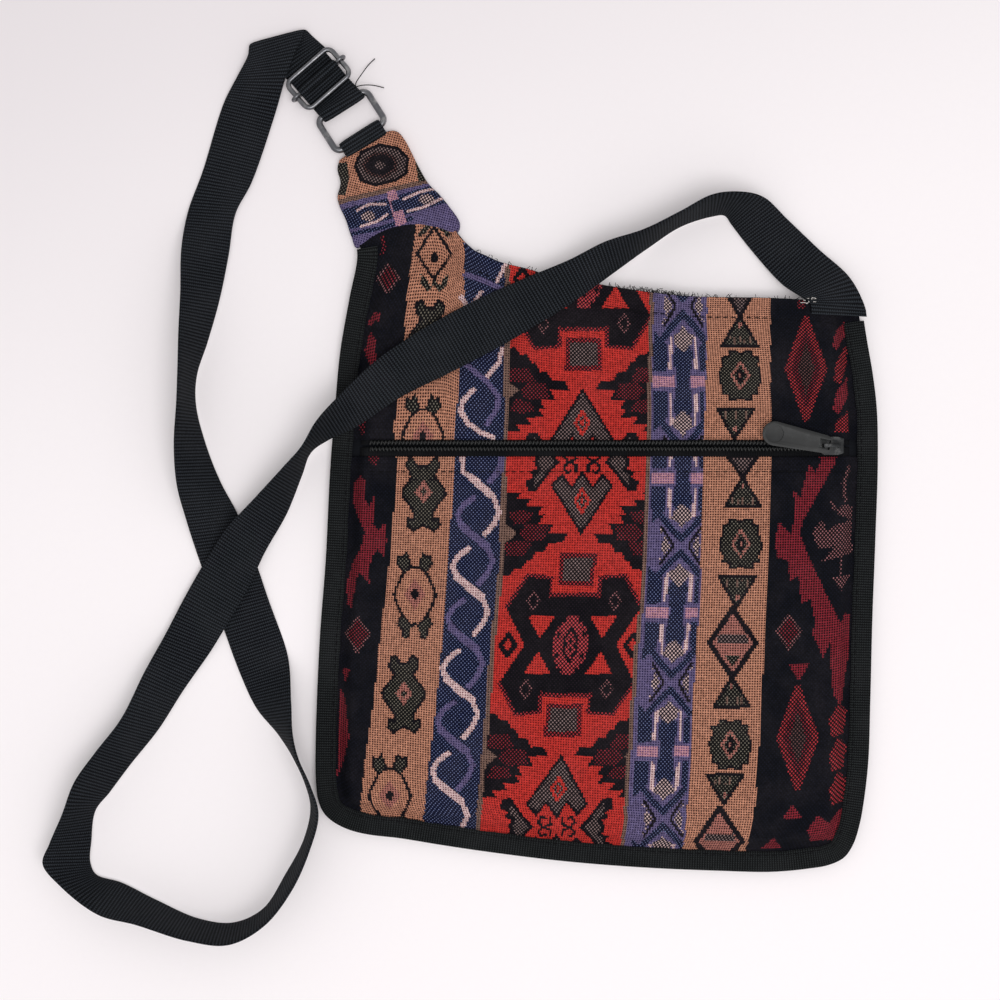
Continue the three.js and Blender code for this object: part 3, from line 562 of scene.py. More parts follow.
@dataclass
class Skin:
    """A mesh in millimetres before it becomes an object.

    Attributes:
        points: Corner places.
        faces: Groups of faces, each group with one number of corners.
        numbers: Values kept at the corners, by name.
    """

    points: Array
    faces: list[Array]
    numbers: dict[str, Array] = field(default_factory=dict)

    def volume(self) -> float:
        """Adds up the signed volumes under fans from each face's first corner.

        Returns:
            The volume, negative where the faces point inwards.
        """
        total = 0.0
        for group in self.faces:
            first = self.points[group[:, 0]]
            for k in range(1, group.shape[1] - 1):
                edge = np.cross(self.points[group[:, k]], self.points[group[:, k + 1]])
                total += float((first * edge).sum())
        return total / 6

    def publish(self, name: str, finish: Material, sharp: float | None = None) -> Piece:
        """Makes the object, with its faces turned outwards and its place in its mesh.

        Args:
            name: Name of the piece.
            finish: Its material.
            sharp: Edges steeper than this angle, in degrees, stay sharp.

        Returns:
            The object.
        """
        if self.volume() < 0:
            self.faces = [group[:, ::-1] for group in self.faces]
        corners = np.concatenate([group.ravel() for group in self.faces])
        counts = np.concatenate([np.full(len(group), group.shape[1]) for group in self.faces])
        mesh = bpy.data.meshes.new(name)
        mesh.vertices.add(len(self.points))
        mesh.vertices.foreach_set("co", (self.points * MM).astype(np.float32).ravel())
        mesh.loops.add(len(corners))
        mesh.loops.foreach_set("vertex_index", corners.astype(np.int32))
        mesh.polygons.add(len(counts))
        mesh.polygons.foreach_set("loop_start", (np.cumsum(counts) - counts).astype(np.int32))
        mesh.polygons.foreach_set("use_smooth", np.ones(len(counts), bool))
        for key, values in self.numbers.items():
            kept = mesh.attributes.new(key, "FLOAT", "POINT")
            kept.data.foreach_set("value", values.astype(np.float32).ravel())
        mesh.update(calc_edges=True)
        mesh.validate()
        if sharp is not None:
            mesh.set_sharp_from_angle(angle=np.radians(sharp))
        mesh.materials.append(finish)
        made = bpy.data.objects.new(name, mesh)
        bpy.context.scene.collection.objects.link(made)
        log.info("%s: %d points, %d faces", name, len(self.points), len(counts))
        return made


def sweep(rings: Array, closed: bool = False, numbers: dict[str, Array] | None = None) -> Skin:
    """Carries closed rings along a path and closes its ends.

    Args:
        rings: Points by place on the path and place round the ring.
        closed: Whether the path closes on itself.
        numbers: Values kept at the corners.

    Returns:
        The skin.
    """
    count, size = rings.shape[:2]
    faces = [grid_faces(count, size, closed, True)]
    if not closed:
        ends = np.arange(size)
        faces.append(np.stack([ends[::-1], ends + (count - 1) * size]))
    return Skin(rings.reshape(-1, 3), faces, numbers or {})


def tube(
    path: Array, radius: float | Array, sides: int, reference: Sequence[float], closed: bool = False
) -> Skin:
    """Makes a round wire: the path's point plus the radius times cosine and sine of its two normals.

    Args:
        path: Points along the wire.
        radius: Radius, one for all or one for each point.
        sides: Points round the wire.
        reference: A direction that the wire never runs along.
        closed: Whether the wire closes on itself.

    Returns:
        The skin, with its run kept at the corners.
    """
    if closed:
        tangent = unit(np.roll(path, -1, axis=0) - np.roll(path, 1, axis=0))
    else:
        tangent = unit(np.gradient(path, axis=0))
    normal = unit(np.cross(np.array(reference, float), tangent))
    binormal = np.cross(tangent, normal)
    angle = np.arange(sides) * (FULL_TURN / sides)
    reach = np.broadcast_to(np.asarray(radius, float), (len(path),))[:, None, None]
    c, s = np.cos(angle)[None, :, None], np.sin(angle)[None, :, None]
    rings = path[:, None] + reach * (c * normal[:, None] + s * binormal[:, None])
    run = np.repeat(run_along(path) * MM, sides)
    side = np.tile(angle, len(path)) * float(np.mean(radius)) * MM
    return sweep(rings, closed, {"run": run, "side": side})


def ribbon(path: Array, across: Array, width: Array | float, thickness: float, columns: int = 17) -> Skin:
    """Makes a flat band with soft edges: a line across, thinned to its edges by a flattened circle.

    Args:
        path: Points along the band's middle.
        across: Unit vectors from edge to edge.
        width: Width, one for all or one for each point.
        thickness: Thickness.
        columns: Points from edge to edge.

    Returns:
        The skin, with its run and side kept at the corners.
    """
    tangent = unit(np.gradient(path, axis=0))
    normal = unit(np.cross(tangent, across))
    share = -np.cos(np.linspace(0, np.pi, columns))
    thin = (1 - np.abs(share) ** 6) ** 0.5
    ring_side = np.concatenate([share, share[-2:0:-1]])
    ring_high = np.concatenate([thin, -thin[-2:0:-1]])
    half = np.broadcast_to(np.asarray(width, float) / 2, (len(path),))[:, None]
    place = (half * ring_side)[..., None] * across[:, None]
    lift = (ring_high * thickness / 2)[None, :, None] * normal[:, None]
    run = np.repeat(run_along(path) * MM, len(ring_side))
    side = (half * ring_side).ravel() * MM
    return sweep(path[:, None] + place + lift, False, {"run": run, "side": side})


def closed_sheet(top: Array, thickness: float, stride: int, numbers: dict[str, Array]) -> Skin:
    """Makes a cloth panel: a fine grid on top, a coarser one below, and a rim between them.

    Args:
        top: Grid of points, rows by columns.
        thickness: How far below the lower grid lies.
        stride: Steps of the top grid to one of the lower.
        numbers: Values on the top grid.

    Returns:
        The skin; its first group holds the top faces.
    """
    rows, columns = top.shape[:2]
    below = top[::stride, ::stride] - np.array([0, 0, thickness])
    low_rows, low_columns = below.shape[:2]
    base = rows * columns
    upper = np.arange(base).reshape(rows, columns)
    lower = base + np.arange(low_rows * low_columns).reshape(low_rows, low_columns)
    fine = [upper[0], upper[:, -1], upper[-1, ::-1], upper[::-1, 0]]
    coarse = [lower[0], lower[:, -1], lower[-1, ::-1], lower[::-1, 0]]
    rims = []
    for edge, foot in zip(fine, coarse):
        steps = len(foot) - 1
        windows = np.arange(steps)[:, None] * stride + np.arange(stride, -1, -1)[None, :]
        rims.append(np.column_stack([foot[:-1], foot[1:], edge[windows]]))
    faces = [
        grid_faces(rows, columns),
        grid_faces(low_rows, low_columns)[:, ::-1] + base,
        np.concatenate(rims),
    ]
    points = np.vstack([top.reshape(-1, 3), below.reshape(-1, 3)])
    kept = {key: np.concatenate([v.ravel(), v[::stride, ::stride].ravel()]) for key, v in numbers.items()}
    return Skin(points, faces, kept)


def read_line(line: Array, by: int, value: int) -> Reader:
    """Returns a reader of one coordinate of a line by another, level beyond its ends."""
    kept = line[np.argsort(line[:, by], kind="stable")]
    return lambda at: np.interp(at, kept[:, by], kept[:, value])


def line_distance(x: Array, y: Array, line: Sequence[Sequence[float]]) -> Array:
    """Returns the distance of each place from a line of straight parts.

    Args:
        x: X of each place.
        y: Y of each place.
        line: Corners of the line.

    Returns:
        The distances.
    """
    best = np.full(np.shape(x), np.inf)
    for (ax, ay), (bx, by) in zip(line[:-1], line[1:]):
        dx, dy = bx - ax, by - ay
        t = np.clip(((x - ax) * dx + (y - ay) * dy) / (dx * dx + dy * dy), 0, 1)
        best = np.minimum(best, np.hypot(x - ax - t * dx, y - ay - t * dy))
    return best


def nearest(line: Array, place: Sequence[float]) -> int:
    """Returns the index of a line's point that is nearest to a place."""
    return int(np.argmin(np.hypot(line[:, 0] - place[0], line[:, 1] - place[1])))


# Places in millimetres, X to the right and Y up. The edge runs from the horn down the left side,
# along the bottom and up the right side. The top runs from the horn to the strap's corner.
EDGE_POINTS = (
    (-98.8, 144.0), (-98.2, 140.0), (-96.8, 133.6), (-100.0, 116.0), (-103.6, 95.2), (-105.6, 74.0),
    (-107.6, 48.0), (-109.4, 12.0), (-111.8, -20.0), (-113.4, -62.0), (-113.2, -77.0), (-112.2, -84.0),
    (-109.8, -89.0), (-105.6, -92.6), (-99.6, -95.4), (-92.0, -97.2), (-80.0, -98.6), (-64.0, -101.2),
    (-48.0, -103.6), (-16.0, -107.6), (16.0, -110.2), (48.0, -111.6), (68.0, -112.0), (82.0, -110.8),
    (91.0, -109.2), (97.0, -106.2), (100.6, -101.0), (103.2, -92.8), (104.8, -84.0), (106.6, -68.0),
    (107.4, -44.0), (108.2, -12.0), (109.4, 20.0), (110.4, 52.0), (110.0, 72.0), (108.4, 86.0),
    (106.0, 100.0), (104.4, 110.4),
)
TOP_POINTS = (
    (-97.6, 142.4), (-86.0, 147.2), (-72.0, 150.4), (-62.6, 150.0), (-58.4, 144.4), (-56.2, 141.0),
    (-54.0, 138.8), (-50.0, 135.2), (-46.0, 133.2), (-40.0, 130.2), (-30.0, 127.6), (-20.0, 124.8),
    (0.0, 121.2), (18.0, 118.4), (36.0, 116.6), (64.0, 116.0), (80.0, 115.2), (92.0, 113.8),
    (103.0, 110.4),
)
LEFT_CORNER = (-109.8, -89.0)
RIGHT_CORNER = (97.0, -106.2)
BINDING_START = (-97.2, 135.6)
BINDING_STOP = (104.9, 107.4)
LINING_TOP = ((-99.0, 112.0), (-40.0, 113.0), (0.0, 112.6), (36.0, 109.6), (80.0, 108.4), (103.3, 106.0))
TAB_FOOT = ((-97.2, 136.4), (-84.8, 143.2), (-72.0, 145.2), (-56.4, 143.2))
TAB_POINTS = (
    (-104.0, 171.6), (-99.2, 174.8), (-93.6, 178.0), (-88.0, 181.2), (-84.0, 183.2), (-80.8, 182.8),
    (-78.0, 179.6), (-75.2, 174.4), (-72.0, 168.0), (-68.4, 162.0), (-64.0, 157.6), (-60.4, 153.2),
    (-56.0, 146.4), (-56.4, 143.2), (-58.0, 142.0), (-64.0, 144.0), (-72.0, 145.2), (-78.0, 144.8),
    (-84.8, 143.2), (-91.2, 140.0), (-97.2, 136.4), (-99.2, 140.8), (-101.6, 148.0), (-104.0, 153.2),
    (-104.8, 156.8), (-103.6, 162.4), (-104.8, 168.0),
)


@dataclass(frozen=True)
class BagShape:
    """Outline and heights of the lying bag, in millimetres.

    Attributes:
        cloth: Thickness of the cloth.
        lining: Thickness of the inner cloth.
        level: Height of the flat front.
        rise_start: Distance from the edge where the cloth leaves the binding.
        rise: Width of the slope.
        inset: Distance of the cloth's edge from the binding's fold.
        front_edge: Height of the front cloth's underside in the binding.
        back_edge: The same for the back cloth.
        lining_edge: The same for the inner cloth.
        zip_y: Middle of the zip.
        upper_lap: Distance from there to the upper panel.
        lower_lap: Distance from there to the lower panel.
        zip_seam: Distance from a panel's edge at the zip to its stitches.
        mouth_seam: Distance from the mouth to its stitches.
        tab_start: Distance from the tab's foot where the cloth begins to rise.
        tab_rise: Width of that slope.
        lower_swell: Swell of the front below the zip.
        upper_swell: Swell above it.
        lining_drop: Distance from the front cloth down to the lining.
        mouth_lift: How much closer they are at the mouth.
        lining_at_zip: Height of the lining under the zip.
        passes: Passes that settle the panels' grids.
    """

    cloth: float = 0.8
    lining: float = 0.3
    level: float = 8.0
    rise_start: float = 9.0
    rise: float = 5.6
    inset: float = 1.6
    front_edge: float = 2.6
    back_edge: float = 0.9
    lining_edge: float = 2.0
    zip_y: float = 57.4
    upper_lap: float = 2.4
    lower_lap: float = 4.1
    zip_seam: float = 6.1
    mouth_seam: float = 8.0
    tab_start: float = 7.0
    tab_rise: float = 16.0
    lower_swell: float = 1.6
    upper_swell: float = 0.3
    lining_drop: float = 0.9
    mouth_lift: float = 0.6
    lining_at_zip: float = 5.3
    passes: int = 14

    def edge(self) -> Array:
        """Returns the bag's edge from the horn down, along the bottom and up the right side."""
        return catmull(EDGE_POINTS, 2400)

    def readers(self) -> tuple[Reader, ...]:
        """Returns readers of the left, right, bottom and top edges.

        Returns:
            X by Y for the first two, Y by X for the others.
        """
        edge = self.edge()
        first = nearest(edge, LEFT_CORNER)
        second = nearest(edge, RIGHT_CORNER)
        left = read_line(edge[: first + 1], 1, 0)
        right = read_line(edge[second:], 1, 0)
        bottom = read_line(edge[first : second + 1], 0, 1)
        return left, right, bottom, read_line(catmull(TOP_POINTS, 900), 0, 1)

    def gaps(self, x: Array, y: Array) -> tuple[Array, Array, Array]:
        """Returns the distances from the left, right and bottom edges."""
        left, right, bottom, _ = self.readers()
        return x - left(y), right(y) - x, y - bottom(x)

    def risen(self, x: Array, y: Array) -> Array:
        """Returns how far the cloth has risen: the product of smooth steps from each edge and the tab.

        Args:
            x: X of each place.
            y: Y of each place.

        Returns:
            Shares from 0 to 1.
        """
        sides = [smooth((gap - self.rise_start) / self.rise) for gap in self.gaps(x, y)]
        tab = smooth((line_distance(x, y, TAB_FOOT) - self.tab_start) / self.tab_rise)
        return np.where(y > TAB_FOOT[0][1], 0, sides[0] * sides[1] * sides[2] * tab)

    def crown(self, x: Array, y: Array) -> Array:
        """Returns the front's gentle swell: smooth steps inwards from the edges and away from the zip.

        Args:
            x: X of each place.
            y: Y of each place.

        Returns:
            The swell in millimetres.
        """
        inner = smooth((np.minimum.reduce(self.gaps(x, y)) - self.rise_start) / 45)
        below = smooth((self.zip_y - self.lower_lap - 2 - y) / 40)
        above = smooth((y - self.zip_y - self.upper_lap - 2) / 20)
        return inner * (self.lower_swell * below + self.upper_swell * above)

    def front(self, x: Array, y: Array) -> Array:
        """Returns the height of the front's outer side: its sewn edge plus the rise and swell."""
        edge = self.front_edge + self.cloth
        return edge + (self.level - edge + self.crown(x, y)) * self.risen(x, y)

    def back(self, x: Array, y: Array) -> Array:
        """Returns the height of the back's inner side, which lifts only in the binding."""
        return self.back_edge * (1 - self.risen(x, y)) + self.cloth

    def inner(self, x: Array, y: Array) -> Array:
        """Returns the height of the lining, which dips under the zip and lies close by the mouth.

        Args:
            x: X of each place.
            y: Y of each place.

        Returns:
            Heights of the lining's upper side.
        """
        under = self.level + self.crown(x, y) - self.cloth
        high = under - self.lining_drop + self.mouth_lift * smooth((y - 88) / 14)
        near_zip = 1 - smooth((np.abs(y - self.zip_y) - 6) / 12)
        above = high + (self.lining_at_zip - high) * near_zip
        seated = self.lining_edge + self.lining
        return seated + (above - seated) * self.risen(x, y)

    def plan(
        self, base: Reader, crest: Reader, rows: int, columns: int
    ) -> tuple[Array, Array]:
        """Finds the meeting points of even rows and columns by passing between them in turn.

        Args:
            base: Lowest row's Y by X.
            crest: Highest row's Y by X.
            rows: Steps from base to crest.
            columns: Steps from side to side.

        Returns:
            X and Y of the grid.
        """
        left, right, _, _ = self.readers()
        t, s = np.meshgrid(np.linspace(0, 1, rows + 1), np.linspace(0, 1, columns + 1), indexing="ij")
        x = np.zeros_like(s)
        y = np.zeros_like(s)
        for _ in range(self.passes):
            y = base(x) + t * (crest(x) - base(x))
            x = left(y) + self.inset + s * (right(y) - left(y) - 2 * self.inset)
        return x, y


Points = Sequence[tuple[float, float]]


def diamond(u: float, v: float, half: float, high: float) -> Points:
    """Returns a diamond about a middle."""
    return ((u - half, v), (u, v - high), (u + half, v), (u, v + high))


def box(u0: float, u1: float, v0: float, v1: float) -> Points:
    """Returns an upright rectangle."""
    return ((u0, v0), (u1, v0), (u1, v1), (u0, v1))


def peak(u: float, top: float, foot: float, half: float) -> Points:
    """Returns a triangle with its point at top and its side at foot."""
    return ((u, top), (u + half, foot), (u - half, foot))


class Chart:
    """A design drawn on places counted in threads, u to the right and v downwards.

    Attributes:
        THREAD: Millimetres to a thread.
        ORIGIN: u and v where X and Y are 0.
    """

    THREAD: float = 0.4
    ORIGIN: tuple[int, int] = (600, 590)

    def __init__(self, u: Array, v: Array, yarns: Array, inside: Array | None = None) -> None:
        """Keeps the places and the yarn at each; a local chart shares the yarns of the whole one.

        Args:
            u: Threads to the right.
            v: Threads downwards.
            yarns: Index of the yarn at each place.
            inside: Where it may be drawn on, or None for everywhere.
        """
        self.u = u
        self.v = v
        self.yarns = yarns
        self.inside = np.ones(len(u), bool) if inside is None else inside

    @classmethod
    def over(cls, x: Array, y: Array, start: Yarn) -> "Chart":
        """Starts a chart over places in millimetres, all in one yarn.

        Args:
            x: X of each place.
            y: Y of each place.
            start: The yarn they start in.

        Returns:
            The chart.
        """
        count = x.size
        u = cls.ORIGIN[0] + x.ravel() / cls.THREAD
        v = cls.ORIGIN[1] - y.ravel() / cls.THREAD
        return cls(u, v, np.full(count, YARNS.index(start), np.int16))

    def local(self, u: Array, v: Array, inside: Array) -> "Chart":
        """Returns a chart on other coordinates that draws into the same yarns where inside holds."""
        return Chart(u, v, self.yarns, inside)

    def near(self, points: Array, reach: float) -> Array:
        """Returns the indices of the places within a reach of the points' bounds.

        Args:
            points: Points of a shape.
            reach: Room round them.

        Returns:
            The indices.
        """
        low = points.min(axis=0) - reach
        high = points.max(axis=0) + reach
        hit = (self.u >= low[0]) & (self.u <= high[0]) & (self.v >= low[1]) & (self.v <= high[1])
        return np.nonzero(hit & self.inside)[0]

    def fill(self, points: Points, yarn: Yarn) -> None:
        """Fills a shape: a place is inside where a line to its right crosses the outline oddly often.

        Args:
            points: The outline's corners.
            yarn: Its yarn.
        """
        shape = np.array(points, float)
        at = self.near(shape, 0.0)
        u, v = self.u[at], self.v[at]
        odd = np.zeros(len(at), bool)
        for (ax, ay), (bx, by) in zip(shape, np.roll(shape, -1, axis=0)):
            if ay != by:
                crosses = ((ay > v) != (by > v)) & (u < (bx - ax) * (v - ay) / (by - ay) + ax)
                odd ^= crosses
        self.yarns[at[odd]] = YARNS.index(yarn)

    def stroke(self, points: Points, width: float, yarn: Yarn, closed: bool = False) -> None:
        """Draws a line: every place nearer to it than half its width.

        Args:
            points: The line's corners.
            width: Its width.
            yarn: Its yarn.
            closed: Whether its ends join.
        """
        line = [*points, points[0]] if closed else list(points)
        at = self.near(np.array(line, float), width)
        near = line_distance(self.u[at], self.v[at], line) < width / 2
        self.yarns[at[near]] = YARNS.index(yarn)

    def outlined(self, points: Points, width: float, line: Yarn, inner: Yarn) -> None:
        """Fills a shape and draws its outline."""
        self.fill(points, inner)
        self.stroke(points, width, line, closed=True)

    def oval(self, u: float, v: float, half: float, high: float, yarn: Yarn) -> None:
        """Fills an ellipse."""
        angle = np.linspace(0, FULL_TURN, 20, endpoint=False)
        self.fill(list(zip(u + half * np.cos(angle), v + high * np.sin(angle))), yarn)


@dataclass(frozen=True)
class Band:
    """One stripe between two leaning edges.

    Attributes:
        left: Left edge as v and u.
        right: Right edge as v and u.
        yarn: Its ground.
    """

    left: Points
    right: Points
    yarn: Yarn

    def edges(self, v: Array) -> tuple[Array, Array]:
        """Returns the two edges at v."""
        left, right = np.array(self.left), np.array(self.right)
        return np.interp(v, left[:, 0], left[:, 1]), np.interp(v, right[:, 0], right[:, 1])

    def lay(self, chart: Chart) -> None:
        """Colours the stripe."""
        low, high = self.edges(chart.v)
        chart.yarns[chart.inside & (chart.u >= low) & (chart.u < high)] = YARNS.index(self.yarn)


# Edges of the stripes, each a row of v and u in threads.
PEACH_LEFT = (
    (150, 424), (240, 415), (300, 408), (340, 405), (400, 399), (430, 395), (460, 398), (500, 396),
    (560, 391),
    (600, 386), (640, 381), (700, 375), (760, 366), (815, 361),
)
PEACH_RIGHT = (
    (150, 470), (240, 464), (300, 465), (400, 458), (430, 455), (460, 456), (500, 453), (560, 449),
    (600, 446),
    (640, 443), (700, 437), (760, 430), (815, 424),
)
BLUE_RIGHT = (
    (240, 505), (400, 504), (460, 502), (563, 499), (600, 495), (643, 490), (700, 486), (760, 481),
    (830, 475),
)
RED_LEFT = tuple((v, u + 5) for v, u in BLUE_RIGHT)
RED_RIGHT = (
    (240, 650), (300, 648), (457, 644), (563, 640), (600, 638), (643, 633), (700, 629), (760, 625),
    (840, 620),
)
VIOLET_LEFT = tuple((v, u + 4) for v, u in RED_RIGHT)
VIOLET_RIGHT = ((280, 706), (310, 705), (460, 702), (600, 697), (700, 690), (800, 685), (850, 682))
PALE_RIGHT = ((280, 767), (310, 767), (460, 768), (600, 763), (700, 758), (800, 752), (850, 744))

RED_STRIPE = Band(RED_LEFT, RED_RIGHT, RED)
VIOLET_STRIPE = Band(VIOLET_LEFT, VIOLET_RIGHT, VIOLET)
BANDS = (
    Band(PEACH_LEFT, PEACH_RIGHT, PEACH),
    Band(PEACH_RIGHT, BLUE_RIGHT, NAVY),
    Band(BLUE_RIGHT, RED_LEFT, BROWN),
    RED_STRIPE,
    Band(RED_RIGHT, VIOLET_LEFT, BROWN),
    VIOLET_STRIPE,
    Band(VIOLET_RIGHT, PALE_RIGHT, PEACH),
)

# Middle lines of the red and the violet stripe, as v and u, and where their figures repeat: the red
# ones fold at FOLD_TOP and each FOLD_RUN from it, the violet ones as v and distance from a fold.
RED_MIDDLE = (
    (240, 584), (395, 581.5), (500, 581), (535, 580), (567, 576), (641, 569.5), (716, 562.5), (758, 560),
    (800, 556),
)
FOLD_TOP = 462.3
FOLD_RUN = 180.7
VIOLET_MIDDLE = (
    (310, 681), (470, 681), (545, 678.5), (611, 674), (641, 671.5), (700, 667), (800, 661),
)
VIOLET_FOLDS = (
    (240, 0), (308, 67), (383, 0), (449, 60), (456, 22), (478, 0), (545, 67), (611, 0), (680, 67),
    (748, 0), (815, 67), (860, 22),
)


@dataclass(frozen=True)
class StripedPattern:
    """The cloth's traditional stripes and their stepped, hooked and diamond figures."""

    def draw(self, x: Array, y: Array) -> Array:
        """Draws the whole pattern.

        Args:
            x: X of each place in millimetres.
            y: Y of each place.

        Returns:
            Index of the yarn at each place.
        """
        chart = Chart.over(x, y, NIGHT)
        self.dark_left(chart)
        for band in BANDS:
            band.lay(chart)
        self.peach_figures(chart)
        self.waves(chart)
        self.red_band(chart)
        self.violet_band(chart)
        self.pale_band(chart)
        self.dark_right(chart)
        return chart.yarns

    def dark_left(self, chart: Chart) -> None:
        """Draws the leaves, branches and diamonds of the dark stripe at the left.

        Args:
            chart: The chart to draw on.
        """
        chart.stroke(((383, 238), (385, 246), (383, 255)), 3.0, MAROON_DOT)
        chart.outlined(diamond(389, 280, 11, 15), 2.6, ROSE_DOT, MAROON_DOT)
        chart.fill(((368, 325), (375, 313), (383, 315), (381, 323), (375, 322), (372, 328)), MAROON)
        leaf = ((371, 332), (377, 342), (377, 356), (380, 370), (372, 366), (365, 352), (368, 342))
        chart.fill(leaf, MAROON)
        chart.fill(((357, 420), (369, 418), (364, 438)), MAROON_DOT)
        chart.fill(((364, 450), (384, 450), (377, 467), (372, 462)), MAROON_DOT)
        branch = (
            (362, 476), (366, 480), (366, 500), (371, 506), (376, 495), (376, 512), (374, 524),
            (381, 530), (386, 522),
            (388, 540), (385, 556), (379, 549), (373, 556), (371, 570), (371, 583), (365, 576),
            (360, 572), (356, 590),
            (353, 608), (347, 602), (348, 580), (354, 562), (362, 548), (366, 532), (360, 518),
            (354, 502), (354, 484),
        )
        chart.fill(branch, MAROON)
        chart.outlined(diamond(359, 633, 12, 17), 2.6, ROSE_DOT, MAROON_DOT)
        chart.fill(((343, 667), (352, 667), (346, 681)), MAROON)
        chart.fill(((341, 686), (347, 700), (351, 735), (344, 760), (337, 778), (340, 740)), MAROON)

    def mirrored(self, u: float, v: float, half: Points) -> Points:
        """Returns a closed outline from its right half, moved to a middle."""
        right = [(u + a, v + b) for a, b in half]
        return [*right, *[(u - a, v + b) for a, b in reversed(half[1:-1])]]

    def solid_figure(self, chart: Chart, u: float, v: float) -> None:
        """Draws one solid horned figure with a pale heart.

        Args:
            chart: The chart to draw on.
            u: Its middle across.
            v: Its middle down.
        """
        half = (
            (0, -31), (4, -31), (8, -38), (13, -36), (14, -27), (9, -20), (14, -12), (21, -3), (21, 2),
            (14, 12), (9, 20),
            (10, 27), (15, 25), (16, 32), (10, 38), (5, 34), (0, 32),
        )
        chart.outlined(self.mirrored(u, v, half), 2.6, BLACK, OLIVE_DOT)
        chart.fill(diamond(u, v - 1, 8.5, 12), ROSE)
        chart.fill(diamond(u, v - 1, 3, 4.4), OLIVE_DOT)

    def hollow_figure(self, chart: Chart, u: float, v: float) -> None:
        """Draws one outlined horned figure with an eye, and its dotted horns and feet.

        Args:
            chart: The chart to draw on.
            u: Its middle across.
            v: Its middle down.
        """
        half = ((0, -27), (6, -26), (12, -20), (19, -5), (20.5, 1), (17, 12), (10, 24), (4, 31), (0, 29))
        chart.outlined(self.mirrored(u, v, half), 2.8, BLACK, PEACH)
        chart.fill(diamond(u, v, 11, 15), ROSE)
        for side in (-1, 1):
            horn = ((4, -29), (8, -41), (12, -36), (16, -38), (17, -29), (11, -22))
            foot = ((3, 31), (13, 20), (17, 29), (13, 35), (11, 43), (6, 42))
            for part in (horn, foot):
                chart.fill([(u + side * a, v + b) for a, b in part], OLIVE_DOT)
                chart.stroke([(u + side * a, v + b) for a, b in part], 1.8, BLACK)
        chart.oval(u, v, 3.4, 5.4, BLACK)

    def peach_figures(self, chart: Chart) -> None:
        """Draws the horned figures down the left pale stripe, solid and outlined by turns.

        Args:
            chart: The chart to draw on.
        """
        chart.outlined(diamond(434.5, 255, 17, 27), 3.0, BLACK, PEACH)
        chart.oval(434.5, 259.5, 3.8, 5.6, BLACK)
        teeth = (
            (422, 275), (428, 282), (431, 289), (435, 282), (440, 289), (444, 281), (450, 275), (447, 289),
            (440, 294), (434, 288), (428, 294), (422, 288),
        )
        chart.fill(teeth, OLIVE_DOT)
        chart.stroke(((420, 236), (428, 228), (434, 224), (441, 228), (449, 236)), 5, OLIVE_DOT)
        for u, v in ((431, 341), (424.5, 493), (405, 692)):
            self.solid_figure(chart, u, v)
        for u, v in ((424, 437), (416, 593), (391, 792)):
            self.hollow_figure(chart, u, v)

    def waves(self, chart: Chart) -> None:
        """Draws the pale and violet waves that wind down the blue stripe.

        Args:
            chart: The chart to draw on.
        """
        wave = (
            (469, 548), (459, 555), (453, 565), (457, 575), (468, 585), (482, 596), (488, 610), (483, 622),
            (474, 633),
        )
        seam = 452
        for turn in (-1, 0, 1, 2):
            shift_u, shift_v = -10 * turn, 101 * turn
            for lift, yarn, thick in ((-50, VIOLET, 5.2), (0, PINK, 5.0)):
                lean = 5 if lift else 0
                moved = [(u + shift_u + lean, v + shift_v + lift) for u, v in wave]
                if moved[0][1] > seam or lift:
                    kept = [(u, max(v, seam)) for u, v in moved if v > seam - 6]
                    if len(kept) > 2:
                        chart.stroke(kept, thick, yarn)
                    if len(kept) == len(wave):
                        chart.stroke(kept[3:6], thick + 2.2, yarn)
        singles = (
            (5, PINK, ((463, 456), (463, 472), (480, 484), (494, 498), (499, 512), (494, 524), (485, 534))),
            (7.4, PINK, ((472, 478), (490, 494))),
            (5, VIOLET, ((500, 456), (501, 470), (490, 482))),
            (4.4, PINK, ((502, 350), (499, 364), (488, 378))),
            (5, PINK, ((474, 391), (464, 401), (461, 412), (468, 424), (482, 434), (493, 438))),
            (5.2, VIOLET, ((466, 366), (486, 382), (499, 398), (497, 410), (487, 425))),
            (5, PINK, ((462, 300), (472, 316), (490, 326), (500, 340))),
            (5.4, VIOLET, ((466, 277), (484, 283), (502, 292))),
            (3.8, PINK, ((482, 294), (473, 306))),
            (3.8, PINK, ((506, 266), (497, 284))),
        )
        for thick, yarn, line in singles:
            chart.stroke(line, thick, yarn)

